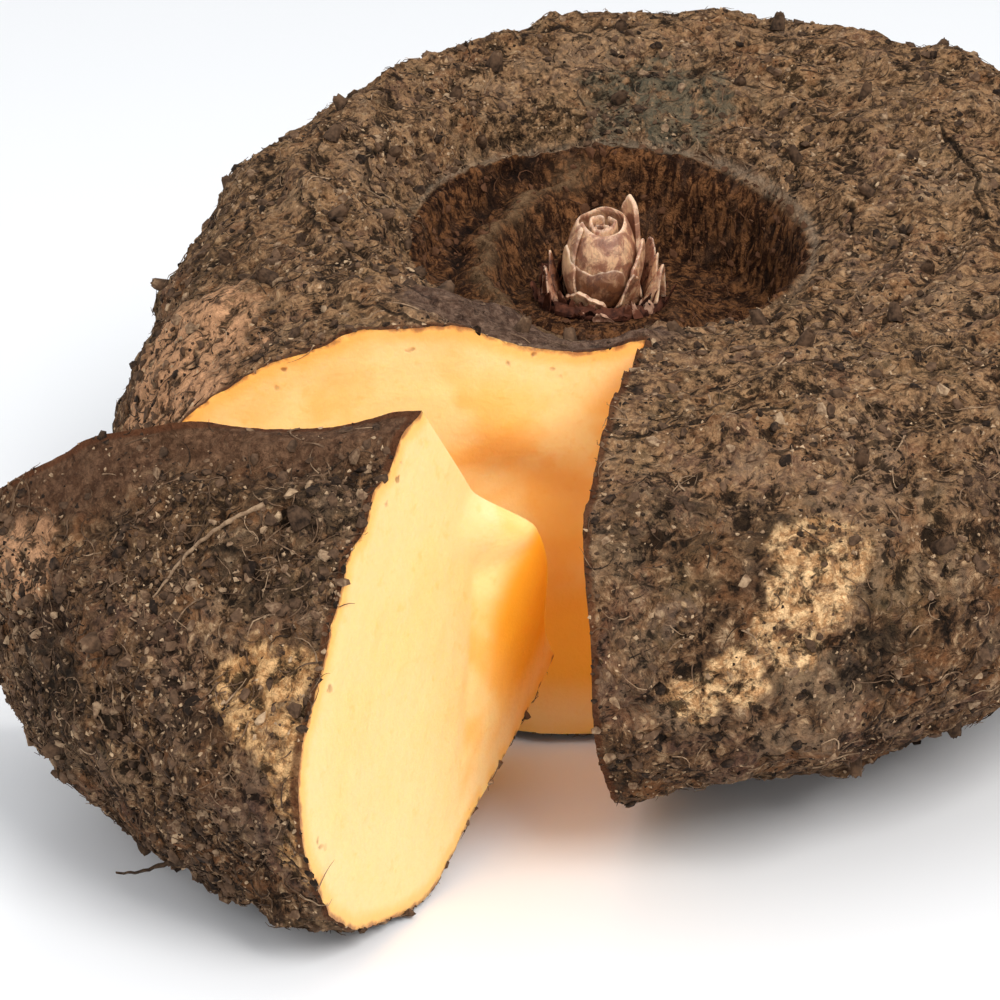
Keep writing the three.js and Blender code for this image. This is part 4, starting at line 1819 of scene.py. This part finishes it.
@dataclass
class Leaf:
    """One leaf of the shoot, a sheet rolled round it with a shaped upper edge, in millimetres and degrees."""

    turn: float
    wrap: float
    height: float
    radius: float
    point: float = 0.0
    lean: float = 0.0
    belly: float = 0.4
    taper: float = 0.0
    spiral: float = 0.0
    wave: float = 0.3
    wall: float = 0.5
    blush: float = 0.0
    brown: float = 0.0
    tilt: float = 0.0
    columns: int = 30
    rows: int = 12

    def make(self, name: str, place: Sequence[float]) -> Object:
        """Rolls the leaf.

        Args:
            name: name of the piece.
            place: foot of the shoot.

        Returns:
            The leaf, with a closed wall.
        """
        deselect()
        bpy.ops.mesh.primitive_grid_add(x_subdivisions=self.columns, y_subdivisions=self.rows, size=2)
        sheet = take(name)
        flat = places_of(sheet) * MM
        across, up = flat[:, 0], (flat[:, 1] + 1) / 2
        edge = self.height * (1 - self.point * np.abs(across) ** 1.6)
        edge = edge + self.wave * np.sin(6.3 * across + self.turn) * (1 - 0.5 * self.point)
        edge = edge + 0.35 * self.wave * np.sin(17 * across + 2 * self.turn)
        angle = math.radians(self.turn) + math.radians(self.wrap) / 2 * across * (1 - 0.3 * self.point
                                                                                  * up**2)
        edge = edge + self.tilt * np.sin(angle)
        reach = (self.radius + self.spiral * across + self.belly * np.sin(2.4 * up) - self.taper * up**1.6
                 + self.lean * up**2 + 0.12 * np.sin(5 * angle) * up)
        places = np.stack([place[0] + reach * np.cos(angle), place[1] + reach * np.sin(angle),
                           place[2] + up * edge], 1)
        set_places(sheet, places)
        store(sheet, "tone", np.clip(np.maximum(np.abs(across) ** 7, up**9), 0, 1))
        # Painted shade: blush and brown grow towards the foot of the leaf, and brown grows on its left side,
        # besides the leaf's own staining.
        store(sheet, "blush", np.clip(self.blush + 0.5 * (1 - up) ** 2, 0, 1))
        store(sheet, "brown",
              np.clip(self.brown + 0.35 * (1 - up) ** 2 - 0.3 * np.cos(angle) * self.brown, 0, 1))
        wall = sheet.modifiers.new("wall", "SOLIDIFY")
        wall.thickness, wall.offset = self.wall * MM, 0
        apply_modifier(sheet, wall)
        round_off = sheet.modifiers.new("round", "SUBSURF")
        round_off.levels = round_off.render_levels = 1
        apply_modifier(sheet, round_off)
        smooth_by_angle(sheet, 70)
        return sheet


@dataclass
class Shoot:
    """Young shoot: a rolled sheath round a blunt core, wrapped in lower and side scales."""

    place: tuple[float, float, float] = (2.5, 22, 57.6)
    leaves: tuple[Leaf, ...] = (
        Leaf(20, 400, 15.6, 4.5, belly=2.9, taper=2.3, spiral=0.4, wave=0.35, wall=0.6, tilt=1.5, blush=0.1,
             brown=0.15),
        Leaf(250, 350, 15.6, 2.9, belly=0.5, taper=1.0, spiral=0.35, wave=0.3, wall=0.6, tilt=0.7,
             blush=0.25),
        Leaf(60, 340, 14.4, 1.5, belly=0.2, taper=0.5, spiral=0.25, wave=0.2, wall=0.5, tilt=0.3, blush=0.5,
             brown=0.5),
        Leaf(38, 34, 19.6, 7.4, point=0.12, lean=-0.9, belly=0.4, wave=0.15, wall=1.0, blush=0.1),
        Leaf(-122, 138, 8.0, 5.0, belly=1.9, wave=0.45, wall=0.5, blush=0.3, brown=0.85, tilt=0.6),
        Leaf(-176, 84, 11.0, 5.7, belly=1.6, point=0.25, wave=0.5, wall=0.6, tilt=0.3),
        Leaf(-124, 84, 3.3, 6.3, point=0.6, lean=0.9, belly=0.5, wave=0.3, wall=0.9),
        Leaf(-10, 84, 12.6, 5.9, point=0.42, lean=0.9, belly=1.5, wave=0.4, wall=0.7, blush=0.1),
        Leaf(-46, 52, 7.2, 6.9, point=0.75, lean=1.2, belly=0.6, wave=0.4, wall=0.5, blush=0.4, brown=0.5),
        Leaf(-22, 30, 8.6, 8.8, point=0.85, lean=3.4, belly=0.5, wave=0.3, wall=0.55, blush=0.15),
        Leaf(-4, 26, 9.6, 8.2, point=0.85, lean=2.2, belly=0.5, wave=0.3, wall=0.5, blush=0.15),
        Leaf(24, 52, 11.4, 8.2, point=0.7, lean=2.0, belly=0.4, wave=0.5, wall=0.5, blush=0.8, brown=0.3),
        Leaf(168, 34, 9.4, 8.0, point=0.85, lean=1.8, belly=0.4, wave=0.5, wall=0.5, blush=0.9, brown=0.5),
        Leaf(196, 30, 7.6, 9.0, point=0.9, lean=2.4, belly=0.3, wave=0.4, wall=0.5, blush=0.9, brown=0.3),
        Leaf(128, 60, 11.6, 7.4, point=0.7, lean=0.8, belly=0.4, wave=0.5, wall=0.5, blush=0.9, brown=0.6))

    def make(self) -> Object:
        """The whole shoot as one piece.

        Returns:
            The shoot.
        """
        made = [leaf.make(f"shoot_leaf_{order}", self.place) for order, leaf in enumerate(self.leaves)]
        made.append(self.shaded_core())
        deselect()
        for leaf in made:
            leaf.select_set(True)
        bpy.context.view_layer.objects.active = made[0]
        bpy.ops.object.join()
        return take("shoot")

    def shaded_core(self) -> Object:
        """Blunt dark core far down inside the sheath, painted dark as the shade in its heart.

        Returns:
            The core.
        """
        deselect()
        bpy.ops.mesh.primitive_uv_sphere_add(segments=20, ring_count=14, radius=1)
        shaded_core = take("shaded_core")
        places = places_of(shaded_core) * MM
        rise = (places[:, 2] + 1) / 2
        girth = 2.6 * (1 - 0.35 * rise)
        turned = np.stack([places[:, 0] * girth + self.place[0] + 0.4 * np.sin(3 * rise),
                           places[:, 1] * girth + self.place[1], self.place[2] + 12.0 * rise], 1)
        set_places(shaded_core, turned)
        # Painted shade: the core is painted all brown and stained dark, for the shade in the heart of the
        # sheath.
        store(shaded_core, "tone", np.zeros(len(places)))
        store(shaded_core, "blush", np.full(len(places), 0.8))
        store(shaded_core, "brown", np.ones(len(places)))
        smooth_by_angle(shaded_core, 60)
        return shaded_core


@dataclass
class DryCollar:
    """Torn papery remains of older scales round the foot of the shoot."""

    place: tuple[float, float, float] = (2.5, 22, 57.6)
    inner: float = 9.0
    outer: float = 12.6
    count: int = 84
    lowest: float = 2.2
    highest: float = 8.0

    def tatter(self) -> tuple[np.ndarray, list[tuple[int, ...]]]:
        """One flat tatter of unit width and height, with a torn tip.

        Returns:
            Its places and faces.
        """
        deselect()
        bpy.ops.mesh.primitive_grid_add(x_subdivisions=4, y_subdivisions=5, size=2)
        tatter = take("tatter")
        wall = tatter.modifiers.new("wall", "SOLIDIFY")
        wall.thickness, wall.offset = 0.05, 0
        apply_modifier(tatter, wall)
        places = places_of(tatter) * MM
        faces = [tuple(polygon.vertices) for polygon in tatter.data.polygons]
        remove(tatter)
        return places, faces

    def make(self) -> Object:
        """Stands the tatters in a crowded ring over a low ragged base.

        Returns:
            The tatters.
        """
        dice = np.random.default_rng(31)
        unit, unit_faces = self.tatter()
        across, up, through = unit[:, 0], (unit[:, 1] + 1) / 2, unit[:, 2]
        places, faces, tones = [], [], []
        for order in range(self.count):
            turn, lean = order * GOLDEN_ANGLE, dice.normal(0.1, 0.3)
            height = self.lowest + (self.highest - self.lowest) * dice.random() ** 1.3
            height *= 0.62 + 0.38 * math.sin(turn) + 0.18 * abs(math.cos(turn))
            reach = self.inner + (self.outer - self.inner) * dice.random()
            half = dice.uniform(0.9, 2.2) * (1 - dice.uniform(0.3, 0.9) * up**2)
            torn = up * height * (1 - 0.3 * dice.random() * np.abs(across + dice.uniform(-0.6, 0.6)))
            torn = torn + (up > 0.75) * dice.normal(0, 0.3, len(unit))
            out = reach + lean * torn + 0.35 * through / 0.025 * 0.3 + 0.25 * across**2 * dice.normal(0, 1)
            angle = turn + across * half / reach + dice.normal(0, 0.12) * up
            places.append(np.stack([self.place[0] + out * np.cos(angle), self.place[1] + out * np.sin(angle),
                                    self.place[2] - 0.2 + torn], 1))
            faces += [tuple(corner + order * len(unit) for corner in face) for face in unit_faces]
            tones.append(np.clip(dice.normal(0.22, 0.2) + 0.25 * up**3, 0, 1))
        piece = mesh_piece("collar_tatters", np.vstack(places), faces)
        store(piece, "tone", np.concatenate(tones))
        store(piece, "basin", np.zeros(sum(map(len, tones))))
        smooth_by_angle(piece, 60)
        return piece

    def base(self) -> Object:
        """Low ragged ring that the tatters stand on.

        Returns:
            The ring.
        """
        deselect()
        middle = (self.inner + self.outer) / 2
        bpy.ops.mesh.primitive_torus_add(major_segments=120, minor_segments=16, major_radius=middle * MM,
                                         minor_radius=1.7 * MM)
        ring = take("collar_base")
        places = places_of(ring) + np.array(self.place)
        set_places(ring, places)
        for layer in (Lumps("CLOUDS", 2.2, 1.4, 2, 0.55), Lumps("VORONOI", 1.4, -0.8, level=0.4)):
            layer.press(ring, "")
        places = places_of(ring)
        places[:, 2] = self.place[2] + np.clip(places[:, 2] - self.place[2], -0.6, 2.4)
        set_places(ring, places)
        store(ring, "tone", 0.1 + 0.12 * np.clip(places[:, 2] - self.place[2], 0, 2))
        store(ring, "basin", np.zeros(len(places)))
        smooth_by_angle(ring, 50)
        return ring


# Studio


@dataclass
class Studio:
    """Pale floor, soft light and the camera at the photograph's angle."""

    target: tuple[float, float, float] = (-16.9, 5.64, 22.74)
    elevation: float = 22.76
    distance: float = 583.3
    lens: float = 110.0
    floor_size: float = 8.0
    sky: Colour = (0.97, 0.985, 1.0, 1)
    sky_strength: float = 0.85

    def lamp(self, name: str, place: Sequence[float], aim: Sequence[float], size: float, power: float,
             tint: tuple[float, float, float]) -> None:
        """Adds a soft square lamp, in metres and watts.

        Args:
            name: name of the lamp.
            place: where it stands.
            aim: where it points.
            size: side of the lamp.
            power: power in watts.
            tint: colour of its light.
        """
        light = bpy.data.lights.new(name, "AREA")
        light.size, light.energy, light.color = size, power, tint
        lamp = bpy.data.objects.new(name, light)
        lamp.location = place
        lamp.rotation_euler = (Vector(aim) - Vector(place)).to_track_quat("-Z", "Y").to_euler()
        bpy.context.scene.collection.objects.link(lamp)

    def make(self) -> None:
        """Sets up floor, light and camera."""
        deselect()
        bpy.ops.mesh.primitive_plane_add(size=self.floor_size, location=(0, 0, 0))
        floor = take("floor")
        floor.data.materials.append(FloorFinish().make())
        world = bpy.data.worlds.new("studio")
        world.use_nodes = True
        backdrop = world.node_tree.nodes["Background"]
        backdrop.inputs["Color"].default_value = self.sky
        backdrop.inputs["Strength"].default_value = self.sky_strength
        bpy.context.scene.world = world
        self.lamp("key", (0.50, -0.72, 0.95), (0, 0, 0.03), 0.6, 12, (1.0, 0.98, 0.95))
        self.lamp("fill", (-0.9, -0.5, 0.7), (0, 0, 0.03), 0.9, 3, (0.96, 0.98, 1.0))
        camera = bpy.data.cameras.new("camera")
        camera.lens, camera.sensor_width = self.lens, 36
        camera.clip_start, camera.clip_end = 0.01, 30
        eye = bpy.data.objects.new("camera", camera)
        rise = math.radians(self.elevation)
        target = Vector(self.target) * MM
        eye.location = target + Vector((0, -math.cos(rise), math.sin(rise))) * self.distance * MM
        eye.rotation_euler = (target - eye.location).to_track_quat("-Z", "Y").to_euler()
        bpy.context.scene.collection.objects.link(eye)
        bpy.context.scene.camera = eye
        bpy.context.scene.view_settings.view_transform = "Standard"


def hand_over(piece: Object, node: str) -> None:
    """Lets a piece ride on the body and stand for its node.

    Args:
        piece: finished piece.
        node: node of the solids that it replaces.
    """
    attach(piece, "root")
    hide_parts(node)
    LOG.info("%s stands for %s, %d faces", piece.name, node, len(piece.data.polygons))


@dataclass
class Litter:
    """What is scattered over the skin of one body."""

    crumbs: int
    grit: int
    rootlets: int
    seed: int

    def scatter(self, surface: Surface, node: str, slot: Slot, crumb: Material,
                thread: Material) -> None:
        """Scatters crumbs, grit and rootlets.

        Args:
            surface: skin of the body.
            node: node that they stand for.
            slot: not used.
            crumb: finish of crumbs and grit.
            thread: finish of rootlets.
        """
        hand_over(Crumbs(f"{node}_crumbs", self.crumbs, self.seed).make(surface, crumb), node)
        grit = Crumbs(f"{node}_grit", self.grit, self.seed + 5, 0.22, 0.75, 1.6, True)
        hand_over(grit.make(surface, crumb), node)
        hand_over(Rootlets(f"{node}_rootlets", self.rootlets, self.seed + 1).make(surface, thread), node)


@dataclass
class Corm:
    """The corm with its notch and basin."""

    form: SkinForm
    cut: CutForm
    litter: Litter = field(default_factory=lambda: Litter(9400, 19000, 4300, 11))
    columns: int = 500
    row_step: float = 1.2

    def build(self) -> Object:
        """Cuts the corm and keeps how orange its flesh is painted: its own orange core, and painted shade low
        in the notch.

        Returns:
            The corm.
        """
        body = YamBody("corm_body", "corm", Slot.SKIN, self.form,
                       Knife(self.cut, self.cut.notch_side, self.cut.notch_back),
                       False, self.cut.worn_rim, columns=self.columns, dense_angle=-90, dense_width=1.5,
                       dense_gain=0.7,
                       row_step=self.row_step)
        corm = body.cut(body.ball())
        places = places_of(corm)
        places[:, 2] = np.maximum(places[:, 2], 0)
        set_places(corm, places)
        # Painted shade: the flesh is painted deeper orange below about 34 mm, besides its own orange core.
        low = 1 - smooth_step(30, 52, places[:, 2])
        store(corm, "orange_and_shade", 0.22 + 0.62 * smooth_step(8, 40, read(corm, "rind")) * low
              + 0.75 * (1 - smooth_step(16, 34, places[:, 2])))
        smooth_by_angle(corm, 60)
        return corm

    def dress(self, corm: Object, bark: NodeTree, flesh: Material,
              crumb: Material, thread: Material) -> None:
        """Finishes the corm and scatters what clings to it.

        Args:
            corm: the cut corm.
            bark: shared effect of the corky skin.
            flesh: finish of the cut walls.
            crumb: finish of crumbs and stubs.
            thread: finish of rootlets.
        """
        skin_spots = (((32.1, -103.5, 60.2), 8.5), ((31.2, -107.9, 53.8), 8.5), ((27.4, -109.7, 47.9), 7),
                      ((19.8, -111.5, 42), 6.5), ((13, -111.0, 38), 5.5))
        skin = SkinFinish(
            "corm_skin",
            scraped=skin_spots,
            pink=(((-76.9, -28, 58.5), 25), ((-72, -38, 50), 17)),
            mould=(((15, 71, 82), 18), ((12, 62, 80), 8)),
            shade=(((8, -99, 63), 10), ((42, -106, 41.8), 9), ((27, -100, 64), 5)),
            lit_top_share=0.85).make(bark)
        wear(corm, skin, flesh)
        hand_over(corm, "corm")
        surface = Surface(corm, skin_spots)
        self.litter.scatter(surface, "corm", Slot.SKIN, crumb, thread)
        stubs = RootStubs(self.form, self.cut).make("corm_stubs", False, Pose(), surface, crumb)
        hand_over(stubs, "corm")


@dataclass
class Chunk:
    """The chunk that was cut out of the notch, drawn out and tipped on its skin."""

    form: SkinForm
    cut: CutForm
    pose: Pose = field(default_factory=Pose)
    litter: Litter = field(default_factory=lambda: Litter(3200, 6500, 1500, 23))
    columns: int = 420
    row_step: float = 0.85
    roots: tuple[LongRoot, ...] = (
        LongRoot("pale_root",
                 ((-52.6, -107.2, 69.6), (-57.7, -108, 67.1), (-61.5, -108.7, 64.5), (-64.6, -108.3, 61.4),
                               (-67.8, -109, 58), (-70.3, -109.6, 55.6)), 0.42, 0.15, 0, 0.75),
        LongRoot("low_root",
                 ((-66.5, -117.0, 12.6), (-69.8, -116.6, 11.6), (-73.0, -116.2, 11.1), (-76.6, -116, 10.7)),
                 0.5, 0.2, 2, 0.12))

    def build(self) -> Object:
        """Cuts the chunk, keeps how orange its flesh is painted, with painted shade by its heel, and lays it
        down.

        Returns:
            The chunk.
        """
        body = YamBody("chunk_body", "chunk", Slot.CUT_SKIN, self.form,
                       Knife(self.cut, self.cut.chunk_side, self.cut.chunk_back, step=1.0), True,
                       self.cut.worn_top,
                       columns=self.columns, dense_angle=-137, dense_width=0.95, dense_gain=12,
                       row_step=self.row_step)
        chunk = body.cut(body.ball())
        grown = places_of(chunk)
        out = (grown[:, :2] - np.array(self.cut.corner)) @ heading(self.cut.side_angle)[:2]
        # Painted shade: the heel by the inner edge is painted orange for the shade and bounce light in the
        # gap.
        heel = 1 - smooth_step(-7, 3, 0.63 * (out - 9) + 0.78 * (grown[:, 2] - 37))
        store(chunk, "orange_and_shade", heel * (0.45 + 0.60 * (1 - smooth_step(5, 27, out))))
        places = self.pose.lay(grown, self.cut.corner)
        places[:, 2] = np.maximum(places[:, 2], 0)
        set_places(chunk, places)
        smooth_by_angle(chunk, 60)
        return chunk

    def dress(self, chunk: Object, bark: NodeTree, flesh: Material,
              crumb: Material, thread: Material) -> None:
        """Finishes the chunk and scatters what clings to it.

        Args:
            chunk: the cut chunk where it lies.
            bark: shared effect of the corky skin.
            flesh: finish of the cut faces.
            crumb: finish of crumbs and stubs.
            thread: finish of rootlets.
        """
        skin_spots = (((-52.4, -125.9, 47.4), 10), ((-46.2, -134.2, 40.1), 8), ((-46.3, -135.2, 34), 6),
                      ((-45.2, -134.6, 23), 6.5))
        skin = SkinFinish(
            "chunk_skin",
            scraped=skin_spots,
            pink=(((-92.4, -92.5, 53.7), 9),), mould=(), lit_top_share=0.3,
            shade=(((-46.5, -111, 68.5), 12), ((-51, -113.5, 63), 10), ((-89, -100.6, 33), 14)),
            tan=(0.42, 0.205, 0.078, 1), cream=(0.80, 0.475, 0.215, 1),
            worn=(0.160, 0.082, 0.046, 1), worn_dark=(0.075, 0.034, 0.018, 1)).make(bark)
        wear(chunk, skin, flesh)
        hand_over(chunk, "chunk")
        surface = Surface(chunk, skin_spots)
        self.litter.scatter(surface, "chunk", Slot.CUT_SKIN, crumb, thread)
        stubs = RootStubs(self.form, self.cut).make("chunk_stubs", True, self.pose, surface, crumb)
        hand_over(stubs, "chunk")
        for root in self.roots:
            hand_over(root.make(surface, thread), "chunk")


@dataclass
class Crown:
    """The shoot and the dry collar round its foot."""

    shoot: Shoot = field(default_factory=Shoot)
    collar: DryCollar = field(default_factory=DryCollar)

    def build(self) -> tuple[Object, Object, Object]:
        """The shoot, the tatters and the base of the collar, still bare."""
        return self.shoot.make(), self.collar.make(), self.collar.base()

    def dress(self, shoot: Object, tatters: Object, base: Object) -> None:
        """Finishes the three pieces.

        Args:
            shoot: the shoot.
            tatters: torn scales of the collar.
            base: base of the collar.
        """
        shoot.data.materials.append(ShootFinish().make())
        papery = TintFinish("papery_scale", (0.020, 0.006, 0.004, 1), (0.13, 0.042, 0.022, 1),
                            (0.56, 0.33, 0.22, 1), 0.75, 700.0).make()
        for piece in (tatters, base):
            piece.data.materials.append(papery)
            hand_over(piece, "collar")
        hand_over(shoot, "bud")


def main() -> None:
    """Builds and dresses the yam part by part, then sets up the studio."""
    logging.basicConfig(level=logging.INFO, format="%(name)s: %(message)s")
    form, cut = SkinForm(), CutForm()
    for name in ("Skin", "Flesh"):
        bpy.data.materials.new(name)
    bark, flesh = BarkEffect().make(), FleshFinish().make()
    crumb = TintFinish("old_scale", (0.015, 0.009, 0.006, 1), (0.130, 0.074, 0.043, 1),
                       (0.46, 0.315, 0.19, 1)).make()
    thread = TintFinish("dry_root", (0.022, 0.013, 0.008, 1), (0.140, 0.082, 0.048, 1),
                        (0.38, 0.255, 0.155, 1)).make()
    for part in (Corm(form, cut), Chunk(form, cut)):
        part.dress(part.build(), bark, flesh, crumb, thread)
    crown = Crown()
    crown.dress(*crown.build())
    Studio().make()


if __name__ == "__main__":
    main()
